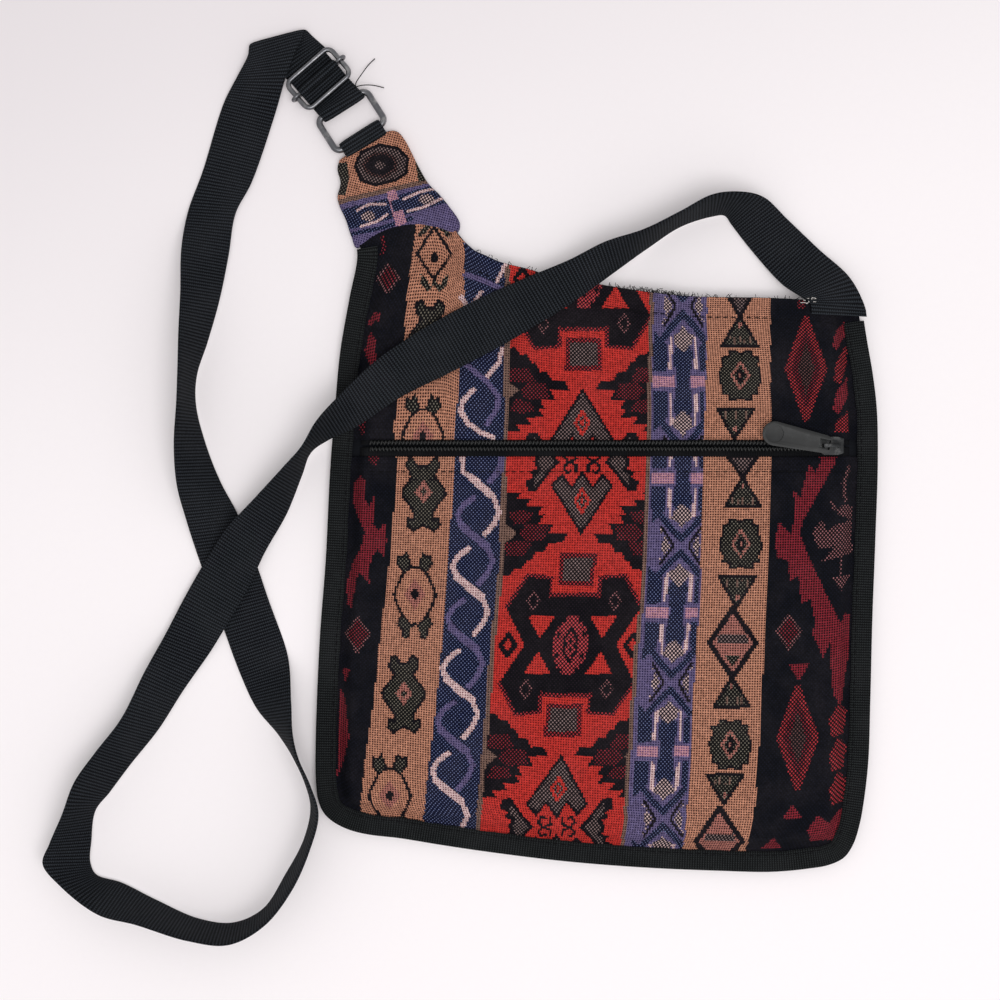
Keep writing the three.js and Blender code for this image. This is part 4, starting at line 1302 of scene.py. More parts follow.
    def red_band(self, chart: Chart) -> None:
        """Draws the red stripe in halves folded on its middle line and on two level lines that repeat.

        Args:
            chart: The chart to draw on.
        """
        low, high = RED_STRIPE.edges(chart.v)
        middle = np.interp(chart.v, *np.array(RED_MIDDLE).T)
        folded = np.abs(chart.v - FOLD_TOP) % (2 * FOLD_RUN)
        down = np.minimum(folded, 2 * FOLD_RUN - folded)
        inside = chart.inside & (chart.u > low) & (chart.u < high)
        half = chart.local(np.abs(chart.u - middle), down, inside)
        self.stepped_sides(half)
        wing = ((22, 0), (48, 0), (45, 7), (52, 10), (48, 15), (56, 19), (54, 29), (45, 29), (33, 12))
        half.fill(wing, BLACK)
        half.fill(((27, 0), (44, 0), (40, 8), (46, 13), (47, 25), (36, 11)), SPECKLED)
        half.fill(((-1, 6), (10, 24), (20, 11), (31, 23), (0, 73), (-1, 73)), BLACK)
        half.fill(((-1, 11), (10, 28), (20, 16), (28, 23), (0, 68), (-1, 68)), SPECKLED)
        half.stroke(((0, 27), (6.6, 38.5), (0, 50)), 3.0, RED)
        half.oval(0, 38.5, 1.8, 3.4, RED)
        half.stroke(((6, 10), (6, 3), (13, 0), (18, 5), (15, 11), (11, 9)), 2.6, BLACK)
        half.fill(box(-1, 18, 90, 122.5), RED_SPOT)
        half.fill(box(-1, 14, 95, 118), SPECKLED)
        frame_line = ((27, 112), (48, 112), (67, 143), (45, 181), (-1, 181), (-1, 133), (22, 133), (24, 118))
        half.fill(frame_line, BLACK)
        half.stroke(((24, 133), (24, 114), (48, 112), (66, 142)), 3.4, RED_SPOT)
        half.stroke(((0, 131), (24, 131)), 4, RED_SPOT)
        half.outlined(diamond(40, 137, 5.4, 9.0), 2.4, ROSE_DOT, BLACK)
        half.fill(((17, 152), (44, 152), (31, 174)), RED)
        half.outlined(diamond(61.5, 181, 7.5, 11), 4.6, BLACK, RED)
        half.oval(0, 181, 17.5, 30, RED_DOT)
        half.stroke(diamond(0, 176, 7, 12), 2.6, BLACK, closed=True)
        for u, v in ((12.5, 170), (12.5, 160), (8, 156)):
            half.fill(diamond(u, v, 2.4, 3.8), BLACK)
        half.oval(0, 176, 1.6, 3, BLACK)

    def stepped_sides(self, half: Chart) -> None:
        """Draws the stepped black figure that grows in from each side of the red stripe.

        Args:
            half: The folded chart of the red stripe.
        """
        steps = (
            (30, 37, 60), (37, 44, 50), (44, 52, 38), (52, 61, 37), (61, 71, 27), (71, 80, 13),
            (80, 89, 30), (89, 98, 42),
            (98, 106, 50), (106, 113, 62),
        )
        for start, stop, reach in steps:
            half.fill(((reach, start), (90, start), (90, stop), (reach + 5, stop)), BLACK)
        half.fill(((47, 50), (60, 48), (72, 50), (66, 62), (52, 60)), MAROON_DOT)
        half.fill(((32, 63), (54, 61), (62, 70), (54, 79), (36, 77)), MAROON_DOT)
        half.fill(((47, 80), (60, 78), (74, 80), (72, 92), (54, 93)), MAROON_DOT)
        half.fill(((76, 60), (63, 71), (76, 81)), BROWN)

    def violet_band(self, chart: Chart) -> None:
        """Draws the crosses, bars and chevrons of the violet stripe, folded on its middle and on each bar.

        Args:
            chart: The chart to draw on.
        """
        middle = np.interp(chart.v, *np.array(VIOLET_MIDDLE).T)
        down = np.interp(chart.v, *np.array(VIOLET_FOLDS).T)
        low, high = VIOLET_STRIPE.edges(chart.v)
        inside = chart.inside & (chart.u > low + 1) & (chart.u < high - 1)
        half = chart.local(np.abs(chart.u - middle), down, inside)
        half.fill(((16, 9), (30, 9), (30, 46), (22, 38), (16, 32)), NAVY)
        half.stroke(((22, 35), (12, 48), (-2, 62)), 6.4, NAVY)
        half.fill(((-1, -1), (6, -1), (8, 12), (10, 24), (6, 33), (-1, 36)), NAVY)
        half.fill(((-1, 25), (4, 29), (9, 34), (10, 41), (4, 44), (-1, 52)), PINK_CHECK)
        half.stroke(((13, 12), (12.5, 24), (11.5, 38)), 3.2, PINK)
        half.fill(((10, 68), (20, 51), (23, 60), (23, 68)), PINK_CHECK)
        half.stroke(((8, 66), (19, 49)), 2.6, BLACK)
        half.fill(((17, 56), (24, 52), (24, 68), (19, 68)), VIOLET)
        half.fill(((8, -1), (30, -1), (30, 5), (8, 5)), PINK_ROW)
        half.fill(((-1, 62), (4, 68), (-1, 68)), VIOLET)

    def pale_band(self, chart: Chart) -> None:
        """Draws the necked triangles, notched blocks and diamonds of the right pale stripe.

        Args:
            chart: The chart to draw on.
        """
        for u, v, wide in ((737, 319, 12), (740, 478, 15)):
            chart.outlined(((u - wide, v - 22), (u + wide, v - 22), (u, v)), 4.0, BLACK, SPECKLED)
        for u, v in ((737, 318), (740, 477), (728.6, 674)):
            chart.outlined(peak(u, v, v + 30, 18), 3.0, BLACK, OLIVE_DOT)
            for step in (-10, -5, 0, 5, 10):
                chart.stroke(((u + step, v + 21), (u + step, v + 27)), 1.3, BROWN)
            chart.oval(u, v + 9, 1.6, 3, ROSE)
        for u, v in ((737.5, 377), (737.5, 543), (727, 741)):
            half = (
                (0, -21), (5, -24), (11, -24), (11, -19), (18, -18), (17, -10), (20, -4), (20, 6),
                (17, 12), (18, 18), (11, 19), (11, 24), (5, 24), (0, 22),
            )
            chart.outlined(self.mirrored(u, v, half), 1.8, BLACK, OLIVE_DOT)
            chart.stroke(diamond(u, v, 8.5, 13), 2.4, ROSE, closed=True)
            chart.fill(diamond(u, v, 4.5, 8), BLACK)
            chart.oval(u, v, 1.4, 2.4, ROSE)
        for u, v in ((733, 410), (734, 576), (722, 771)):
            chart.outlined(((u - 18, v), (u + 18, v), (u - 1, v + 30)), 3.0, BLACK, OLIVE_DOT)
            for step in (-10, -5, 0, 5, 10):
                chart.stroke(((u + step, v + 3), (u + step, v + 9)), 1.3, BROWN)
            chart.oval(u, v + 20, 2, 3, ROSE)
        for u, v in ((729.5, 641), (717, 838)):
            chart.outlined(diamond(u, v, 23, 34), 5.4, BLACK, ROSE)
            chart.fill(((u - 14, v - 8), (u + 14, v - 8), (u + 16, v), (u - 16, v)), SPECKLED)
            chart.fill(((u - 8, v + 12), (u + 8, v + 12), (u, v + 24)), OLIVE_DOT)
            chart.stroke(((u - 13, v + 8), (u + 13, v + 8)), 2.4, ROSE)

    def dark_right(self, chart: Chart) -> None:
        """Draws the long diamonds, twisted leaves, branches and flowers of the dark stripe at the right.

        Args:
            chart: The chart to draw on.
        """
        for u, v in ((802.5, 370), (794, 735)):
            chart.outlined(diamond(u, v, 18, 49), 6.4, RED_SPOT, MAROON_DOT)
            chart.fill(diamond(u, v, 8, 26), BROWN_DOT)
        chart.fill(box(794, 802, 303, 311), MAROON_DOT)
        leaves = (
            ((842, 323), (845, 334), (833, 352), (829, 348), (831, 336)),
            ((845, 345), (845, 364), (837, 386), (830, 382), (832, 364)),
            ((845, 378), (845, 396), (835, 416), (829, 410), (832, 394)),
            ((844, 412), (846, 433), (830, 433), (833, 422)),
        )
        for k, leaf in enumerate(leaves):
            chart.fill(leaf, RED_SPOT if k % 2 else MAROON)
        branch = (
            (815, 454), (834, 454), (830, 466), (822, 480), (812, 498), (800, 520), (796, 533),
            (806, 558), (820, 588),
            (832, 612), (837, 622), (842, 612), (848, 614), (848, 650), (843, 675), (838, 704),
            (830, 694), (828, 680),
            (826, 642), (819, 656), (808, 630), (812, 622), (807, 598), (798, 602), (795, 575),
            (786, 580), (785, 560),
            (774, 557), (771, 540), (776, 521), (783, 530), (788, 534), (792, 510), (790, 491),
            (797, 497), (803, 474),
            (806, 465), (812, 474), (817, 462),
        )
        chart.fill(branch, MAROON)
        chart.stroke(((846, 468), (840, 484), (842, 500)), 4.4, ROSE_DOT)
        bud = ((826, 498), (834, 510), (840, 504), (850, 506), (850, 520), (838, 516), (828, 508))
        chart.fill(bud, ROSE_DOT)
        flower = (
            (808, 532), (818, 520), (823, 530), (835, 523), (850, 520), (850, 552), (838, 556), (818, 561),
            (830, 546), (815, 548),
        )
        chart.fill(flower, ROSE_DOT)
        chart.stroke(((838, 556), (837, 576)), 2.6, ROSE_DOT)
        chart.fill(((828, 577), (849, 574), (838, 590)), ROSE_DOT)
        chart.outlined(diamond(785, 630, 12, 17), 2.6, ROSE_DOT, MAROON_DOT)
        chart.fill(((785, 662), (806, 661), (795, 679)), MAROON)
        for v in (718, 752, 786):
            leaf = ((834, v - 18), (845, v - 8), (841, v + 14), (828, v + 16), (825, v), (830, v - 8))
            chart.fill(leaf, RED_SPOT)
        chart.fill(peak(789, 800, 815, 10), MAROON)
        chart.fill(peak(770, 834, 846, 10), MAROON)
        chart.fill(((804, 826), (814, 812), (826, 820), (840, 806), (838, 838), (808, 838)), MAROON)

    def draw_tab(self, x: Array, y: Array) -> Array:
        """Draws the tab: a pale stripe with an eye above a slanting line, and violet below it.

        Args:
            x: X of each place in millimetres.
            y: Y of each place.

        Returns:
            Index of the yarn at each place.
        """
        chart = Chart.over(x, y, PEACH)
        below = chart.v - (206 - (chart.u - 340) * 0.235)
        chart.yarns[below > -5] = YARNS.index(BROWN)
        chart.yarns[below > 0] = YARNS.index(VIOLET)
        eye = (
            (356, 168), (362, 154), (380, 147), (398, 150), (408, 160), (407, 175), (396, 182), (376, 187),
            (362, 182),
        )
        chart.outlined(eye, 3.0, BLACK, SPECKLED)
        ring = ((364, 167), (372, 157), (386, 155), (396, 162), (396, 172), (384, 179), (371, 176))
        chart.outlined(ring, 3.0, BROWN_DOT, BLACK)
        chart.fill(diamond(380.5, 167, 6, 5), SPECKLED)
        chart.fill(((338, 164), (348, 164), (350, 180), (346, 197), (338, 196)), OLIVE_DOT)
        chart.fill(((415, 158), (426, 156), (434, 180), (419, 184)), OLIVE_DOT)
        chart.stroke(((346, 221), (392, 210), (442, 195)), 21, NAVY)
        chart.stroke(((350, 236), (380, 230), (412, 220)), 4, NAVY)
        for line in (
            ((358, 212), (370, 206), (386, 206)), ((362, 228), (378, 223), (388, 216)),
            ((404, 201), (420, 194), (436, 190)), ((408, 213), (424, 209), (442, 200)),
        ):
            chart.stroke(line, 2.6, PINK)
        chart.oval(369, 218, 7, 5, PINK_CHECK)
        chart.oval(427, 201, 8, 5, PINK_CHECK)
        chart.fill(((387, 194), (396, 191), (407, 224), (397, 229)), PINK_ROW)
        chart.fill(((391, 203), (401, 200), (404, 211), (394, 214)), NAVY)
        return chart.yarns


def dye(made: Piece, yarns: Array) -> None:
    """Keeps each face's yarn on the mesh: its two colours, the lattice and size of its flecks.

    Args:
        made: The cloth object.
        yarns: Index of the yarn of each face.
    """
    tables = {
        "ground": np.array([yarn.ground[:3] for yarn in YARNS], np.float32),
        "fleck": np.array([yarn.fleck[:3] for yarn in YARNS], np.float32),
        "lattice": np.array([yarn.lattice.value for yarn in YARNS], np.float32),
        "size": np.array([yarn.size for yarn in YARNS], np.float32),
    }
    for key, table in tables.items():
        wide = table.ndim == 2
        kind = made.data.attributes.new(key, "FLOAT_VECTOR" if wide else "FLOAT", "FACE")
        kind.data.foreach_set("vector" if wide else "value", table[yarns].ravel())


@dataclass(frozen=True)
class Studio:
    """Camera straight above, pale table and soft light.

    Attributes:
        middle: X and Y that the camera looks at, in metres.
        height: Camera's height.
        span: Width of the table that it sees.
        table: Colour of the table.
        table_reach: Half the width of the table, in millimetres.
        sky: Strength of the white world.
        lamp_power: Power of the lamp in watts.
        lamp_size: Its sides.
        lamp_place: Where it hangs.
        lamp_tilt: Its turns about X and Y, in degrees.
    """

    middle: tuple[float, float] = (-0.040, 0.036)
    height: float = 0.700
    span: float = 0.400
    table: Colour = paint(246, 240, 242)
    table_reach: float = 1500.0
    sky: float = 0.62
    lamp_power: float = 7.6
    lamp_size: tuple[float, float] = (0.9, 0.7)
    lamp_place: tuple[float, float, float] = (0.18, -0.30, 1.25)
    lamp_tilt: tuple[float, float] = (15.0, 10.0)

    def place_camera(self) -> None:
        """Puts the camera over the middle; half its angle has half the span over the height as tangent."""
        camera = bpy.data.cameras.new("camera")
        camera.angle = 2 * float(np.arctan(self.span / 2 / self.height))
        holder = bpy.data.objects.new("camera", camera)
        holder.location = (*self.middle, self.height)
        bpy.context.scene.collection.objects.link(holder)
        bpy.context.scene.camera = holder

    def light(self) -> None:
        """Adds a plain white world and one broad lamp above and to the lower right."""
        world = bpy.data.worlds.new("world")
        world.use_nodes = True
        back = world.node_tree.nodes["Background"]
        back.inputs["Color"].default_value = (1.0, 1.0, 1.0, 1.0)
        back.inputs["Strength"].default_value = self.sky
        bpy.context.scene.world = world
        lamp = bpy.data.lights.new("window_lamp", "AREA")
        lamp.shape = "RECTANGLE"
        lamp.size, lamp.size_y = self.lamp_size
        lamp.energy = self.lamp_power
        holder = bpy.data.objects.new("window_lamp", lamp)
        holder.location = self.lamp_place
        holder.rotation_euler = (*np.radians(self.lamp_tilt).tolist(), 0.0)
        bpy.context.scene.collection.objects.link(holder)
        bpy.context.scene.view_settings.view_transform = "Standard"

    def lay_table(self) -> None:
        """Lays the table top as a broad level grid with fine grain and a painted shade that darkens it a
        little at the top left.
        """
        line = np.linspace(-self.table_reach, self.table_reach, 9)
        x, y = np.meshgrid(line, line)
        points = np.stack([x, y, np.full_like(x, -0.05)], -1).reshape(-1, 3)
        recipe = Recipe("table_top")
        seen = recipe.node("ShaderNodeLightPath", {}, {}, "Is Camera Ray")
        glossy = recipe.node("ShaderNodeLightPath", {}, {}, "Is Glossy Ray")
        grain = recipe.noise(400.0, 3.0, 0.6)
        # Painted shade: the table's colour is mixed towards a darker one towards the top left, away from the
        # lamp.
        sockets = {0: recipe.place(), 1: (-0.35, 0.94, 0.0)}
        away = recipe.node("ShaderNodeVectorMath", {"operation": "DOT_PRODUCT"}, sockets, "Value")
        lit = recipe.mix(away.step(0.08, 0.34), self.table, paint(226, 219, 222))
        colour = recipe.mix(grain * 0.12, lit, paint(224, 217, 219))
        glow = recipe.mix(seen + glossy, (0.0, 0.0, 0.0, 1.0), (0.085, 0.08, 0.08, 1.0))
        recipe.surface(Base_Color=colour, Roughness=0.85, Emission_Color=glow, Emission_Strength=1.0)
        table = Skin(points, [grid_faces(9, 9)]).publish("table", recipe.material)


# The strap's two edges as X, Y and height in millimetres, from the adjuster to the sewn corner.
STRAP_EDGES = (
    ((-109.6, 216.6, 0.9), (-124.6, 203.5, 0.9)), ((-114.8, 221.2, 0.9), (-133.6, 212.0, 0.9)),
    ((-117.6, 223.4, 2.2), (-139.6, 217.6, 2.2)), ((-119.2, 219.2, 3.6), (-140.4, 212.8, 3.6)),
    ((-124.8, 206.0, 2.8), (-144.8, 204.8, 2.4)), ((-130.0, 189.6, 1.0), (-150.4, 194.4, 1.0)),
    ((-139.2, 162.8, 1.0), (-158.8, 167.2, 1.0)), ((-145.6, 150.4, 1.0), (-164.4, 151.6, 1.6)),
    ((-148.4, 133.6, 1.0), (-166.0, 136.0, 8.0)), ((-152.0, 116.0, 1.0), (-165.2, 116.8, 15.0)),
    ((-156.8, 99.2, 1.0), (-165.2, 100.8, 18.8)), ((-161.2, 85.6, 1.0), (-165.2, 87.2, 20.3)),
    ((-161.6, 74.4, 1.0), (-165.6, 75.2, 20.4)), ((-157.6, 58.4, 1.0), (-167.2, 57.6, 17.5)),
    ((-151.6, 43.2, 1.0), (-167.2, 42.4, 12.0)), ((-144.8, 30.4, 1.0), (-164.8, 28.0, 4.0)),
    ((-139.2, 16.0, 1.0), (-160.4, 12.8, 1.0)), ((-132.4, -4.0, 1.0), (-152.4, -9.6, 1.0)),
    ((-124.8, -26.0, 1.0), (-144.0, -32.8, 1.0)), ((-122.0, -43.2, 13.0), (-137.2, -47.2, 1.0)),
    ((-120.8, -56.0, 18.5), (-128.4, -57.6, 1.0)), ((-118.4, -65.6, 20.2), (-122.4, -66.4, 1.0)),
    ((-113.8, -76.0, 20.4), (-117.6, -76.8, 1.0)), ((-110.8, -86.4, 20.4), (-115.4, -86.6, 1.0)),
    ((-114.4, -100.8, 20.4), (-118.0, -99.2, 1.0)), ((-121.2, -116.0, 20.4), (-125.6, -113.6, 1.0)),
    ((-132.0, -129.6, 20.4), (-134.4, -127.2, 1.0)), ((-145.6, -136.8, 20.4), (-146.4, -132.8, 1.0)),
    ((-161.6, -135.2, 20.4), (-160.4, -131.2, 1.0)), ((-182.0, -129.2, 19.3), (-177.6, -123.6, 1.0)),
    ((-196.8, -126.0, 17.0), (-191.2, -116.8, 1.0)), ((-212.8, -116.0, 12.0), (-201.2, -113.6, 1.0)),
    ((-220.0, -107.2, 11.5), (-203.6, -108.8, 1.0)), ((-217.2, -99.2, 12.0), (-203.2, -100.0, 1.0)),
    ((-211.2, -87.2, 16.5), (-201.6, -88.0, 1.0)), ((-206.4, -74.4, 16.5), (-196.0, -80.8, 1.0)),
    ((-198.8, -63.2, 14.5), (-187.6, -69.6, 1.0)), ((-188.8, -50.0, 13.5), (-176.4, -55.6, 1.0)),
    ((-180.4, -32.0, 9.5), (-166.4, -40.0, 1.2)), ((-172.8, -16.8, 4.0), (-155.2, -24.0, 1.6)),
    ((-165.6, -2.8, 3.4), (-148.0, -12.4, 3.4)), ((-157.6, 11.2, 3.4), (-140.4, 0.8, 3.4)),
    ((-147.6, 25.2, 9.0), (-133.6, 15.2, 2.8)), ((-135.2, 37.6, 15.5), (-125.2, 30.4, 1.4)),
    ((-124.0, 49.2, 19.0), (-119.2, 45.6, 1.2)), ((-117.2, 56.4, 21.0), (-115.6, 54.8, 2.6)),
    ((-111.2, 66.4, 23.0), (-107.6, 60.0, 6.8)), ((-102.8, 76.4, 19.8), (-96.8, 64.8, 8.4)),
    ((-89.6, 89.6, 16.0), (-79.2, 76.4, 10.4)), ((-72.0, 102.4, 11.5), (-61.6, 85.2, 10.6)),
    ((-51.2, 114.0, 10.4), (-40.8, 96.0, 10.6)), ((-30.0, 123.6, 10.2), (-20.4, 108.0, 10.4)),
    ((-13.6, 130.0, 13.0), (-6.4, 117.2, 10.4)), ((1.2, 136.8, 18.0), (5.6, 126.4, 6.5)),
    ((16.0, 141.2, 20.4), (18.8, 136.4, 2.0)), ((30.0, 148.0, 20.6), (32.0, 145.2, 1.0)),
    ((42.8, 154.8, 19.8), (44.4, 149.2, 1.0)), ((54.4, 156.4, 16.5), (49.6, 149.6, 1.0)),
    ((64.0, 155.2, 11.0), (52.4, 146.0, 1.0)), ((74.4, 147.6, 4.0), (59.2, 137.2, 1.0)),
    ((86.8, 136.0, 3.2), (72.0, 122.0, 3.8)), ((98.8, 124.0, 6.4), (79.0, 116.0, 9.3)),
    ((104.4, 112.4, 7.8), (82.4, 113.6, 9.4)), ((105.3, 108.6, 6.8), (82.8, 109.4, 9.8)),
)


@dataclass(frozen=True)
class ShoulderStrap:
    """The long webbing strap, from the adjuster to the sewn corner.

    Attributes:
        thickness: Thickness of the webbing in millimetres.
        steps: Places along it.
    """

    thickness: float = 1.4
    steps: int = 1100

    def build(self, webbing: Material) -> tuple[Piece, Array]:
        """Builds the strap as a ribbon between two smooth edges.

        Args:
            webbing: Its material.

        Returns:
            The strap, and its middle line in metres.
        """
        outer = catmull([pair[0] for pair in STRAP_EDGES], self.steps)
        inner = catmull([pair[1] for pair in STRAP_EDGES], self.steps)
        middle = (outer + inner) / 2
        width = np.linalg.norm(inner - outer, axis=1)
        skin = ribbon(middle, unit(inner - outer), width, self.thickness, 21)
        strap = skin.publish("shoulder_strap", webbing)
        return strap, middle * MM

    def declare(self, strap: Piece) -> None:
        """Args:
            strap: The strap.
        """
        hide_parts("strap")
        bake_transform(strap)


@dataclass(frozen=True)
class ClothBody:
    """The bag's cloth: two front panels, the back and the inner cloth.

    Attributes:
        shape: Outline and heights.
        pattern: The woven design.
        columns: Cells from side to side of a front panel.
        lower_rows: Cells up the lower front panel.
        upper_rows: Cells up the upper one.
        back_cells: Cells of the back, up and across.
        lining_cells: Cells of the inner cloth.
        pick: Distance from weft to weft, in millimetres.
        end: Distance from warp to warp.
        turn_depth: How far the edge at the zip turns down.
        groove: Depth of the stitched groove beside the zip.
        pucker: Height of the puckers between the two.
        mouth_groove: Depth of the groove along the mouth.
        settling: Height of the slow waves.
    """

    shape: BagShape = BagShape()
    pattern: StripedPattern = StripedPattern()
    columns: int = 264
    lower_rows: int = 272
    upper_rows: int = 124
    back_cells: tuple[int, int] = (190, 160)
    lining_cells: tuple[int, int] = (90, 80)
    pick: float = 1.25
    end: float = 1.0
    turn_depth: float = 0.7
    groove: float = 0.35
    pucker: float = 0.16
    mouth_groove: float = 0.25
    settling: float = 0.22

    def counts(self, x: Array, y: Array) -> dict[str, Array]:
        """Returns pick and end numbers: mean runs up the rows and along the columns over the pitches.

        Args:
            x: X of each place.
            y: Y of each place.

        Returns:
            The two sets of numbers, by name.
        """
        up = np.cumsum(np.pad(np.hypot(np.diff(x, axis=0), np.diff(y, axis=0)).mean(1), (1, 0)))
        along = np.cumsum(np.pad(np.hypot(np.diff(x, axis=1), np.diff(y, axis=1)).mean(0), (1, 0)))
        pick = np.broadcast_to(up[:, None] / self.pick, x.shape)
        end = np.broadcast_to(along[None, :] / self.end, x.shape)
        return {"pick": pick, "end": end}

    def centres(self, grid: Array) -> Array:
        """Returns the middle of each cell of a grid of values."""
        return (grid[:-1, :-1] + grid[1:, :-1] + grid[:-1, 1:] + grid[1:, 1:]) / 4

    def settle(self, x: Array, y: Array) -> Array:
        """Returns slow soft waves of lying cloth, the sum of three sines, gone at the edges.

        Args:
            x: X of each place.
            y: Y of each place.

        Returns:
            The waves' heights.
        """
        inner = smooth((np.minimum.reduce(self.shape.gaps(x, y)) - 12) / 30)
        waves = np.sin(x * 0.062 + y * 0.021) + 0.7 * np.sin(y * 0.083 - x * 0.017 + 1.3)
        waves = waves + 0.5 * np.sin(x * 0.13 + y * 0.09)
        return self.settling * inner * waves

    def front_panel(
        self, name: str, base: Reader, crest: Reader, rows: int,
        seam_low: bool, finish: Material,
    ) -> Piece:
        """Builds one front panel, turned under at the zip, with a stitched groove beside it.

        Args:
            name: Name of the piece.
            base: Lowest Y by X.
            crest: Highest Y by X.
            rows: Cells from base to crest.
            seam_low: Whether the zip is at the base.
            finish: Its material.

        Returns:
            The panel.
        """
        shape = self.shape
        x, y = shape.plan(base, crest, rows, self.columns)
        from_zip = y - base(x) if seam_low else crest(x) - y
        risen = shape.risen(x, y)
        edge = self.turn_depth * (1 - smooth(from_zip / 1.3)) * risen
        groove = self.groove * np.exp(-(((from_zip - shape.zip_seam) / 0.8) ** 2)) * risen
        pucker = self.pucker * np.sin(x * 0.9) * np.exp(-(((from_zip - 3.5) / 2.4) ** 2)) * risen
        from_mouth = crest(x) - y
        mouth = self.mouth_groove * seam_low * np.exp(-(((from_mouth - shape.mouth_seam) / 0.8) ** 2))
        z = shape.front(x, y) + self.settle(x, y) - edge - groove + pucker - mouth
        skin = closed_sheet(np.stack([x, y, z], -1), shape.cloth, 4, self.counts(x, y))
        panel = skin.publish(name, finish)
        top = self.pattern.draw(self.centres(x), self.centres(y))
        rest = sum(len(group) for group in skin.faces[1:])
        dye(panel, np.concatenate([top, np.full(rest, YARNS.index(NIGHT))]))
        return panel

    def plain_panel(
        self, name: str, height: Callable[[Array, Array], Array], crest: Reader,
        thickness: float, rows: int, columns: int, finish: Material, woven: bool,
    ) -> Piece:
        """Builds a panel from the bottom edge up, with the same cells on both sides.

        Args:
            name: Name of the piece.
            height: Height of its upper side.
            crest: Its top edge.
            thickness: Its thickness.
            rows: Cells from bottom to top.
            columns: Cells from side to side.
            finish: Its material.
            woven: Whether it shows the pattern.

        Returns:
            The panel.
        """
        _, _, bottom, _ = self.shape.readers()
        x, y = self.shape.plan(lambda at: bottom(at) + self.shape.inset, crest, rows, columns)
        skin = closed_sheet(np.stack([x, y, height(x, y)], -1), thickness, 1, self.counts(x, y))
        panel = skin.publish(name, finish)
        if woven:
            face = self.pattern.draw(self.centres(x), self.centres(y))
            dye(panel, np.concatenate([face, face, np.full(len(skin.faces[2]), YARNS.index(NIGHT))]))
        return panel

    def build(self, weave: Material, lining: Material) -> list[Piece]:
        """Args:
            weave: The woven cloth.
            lining: The inner cloth.

        Returns:
            The four panels.
        """
        shape = self.shape
        _, _, bottom, top = shape.readers()
        inner_top = read_line(catmull(LINING_TOP, 400), 0, 1)
        low_seam = shape.zip_y - shape.lower_lap
        high_seam = shape.zip_y + shape.upper_lap
        lower = self.front_panel(
            "front_lower_cloth", lambda x: bottom(x) + shape.inset, lambda x: np.full_like(x, low_seam),
            self.lower_rows, False, weave,
        )
        upper = self.front_panel(
            "front_upper_cloth", lambda x: np.full_like(x, high_seam), top, self.upper_rows, True, weave
        )
        back = self.plain_panel("back_cloth", shape.back, top, shape.cloth, *self.back_cells, weave, True)
        inner = self.plain_panel(
            "lining_cloth", shape.inner, inner_top, shape.lining, *self.lining_cells, lining, False
        )
        facts = (
            (lower, "front_lower_panel", "woven_cloth", (0.218, 0.160), 0.0342),
            (upper, "front_upper_panel", "woven_cloth", (0.216, 0.092), 0.0134),
            (back, "back_panel", "woven_cloth", (0.218, 0.258), 0.0490),
            (inner, "pocket_lining", "lining", (0.217, 0.222), 0.0460),
        )
        for piece, node, slot, flat, area in facts:
            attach(piece, "bag")
            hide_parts(node)
        return [lower, upper, back, inner]


def stitch_row(path: Array, pitch: float, length: float, thick: float) -> Skin:
    """Lays stitches along a path, each a spindle: its radius is the root of one minus the share squared.

    Args:
        path: Points along the seam, close together.
        pitch: Distance from stitch to stitch.
        length: Length of one stitch.
        thick: Its thickness.

    Returns:
        The skin of all the stitches.
    """
    run = run_along(path)
    starts = np.arange(pitch / 2, run[-1] - length, pitch)
    share = np.linspace(-1, 1, 6)
    at = starts[:, None] + (share[None, :] + 1) * length / 2
    middle = np.stack([np.interp(at, run, path[:, k]) for k in range(3)], -1)
    along = unit(middle[:, -1] - middle[:, 0])
    side = unit(np.cross(along, np.array(UP)))
    angle = np.arange(6) * (FULL_TURN / 6)
    reach = thick / 2 * np.sqrt(1.04 - share**2)
    circle = np.cos(angle)[:, None] * side[:, None] + np.sin(angle)[:, None] * np.array(UP)
    rings = middle[:, :, None] + reach[None, :, None, None] * circle[:, None]
    quads = grid_faces(6, 6, False, True)
    caps = np.stack([np.arange(6)[::-1], np.arange(6) + 30])
    offsets = (np.arange(len(starts)) * 36)[:, None, None]
    faces = [(quads[None] + offsets).reshape(-1, 4), (caps[None] + offsets).reshape(-1, 6)]
    return Skin(rings.reshape(-1, 3), faces)


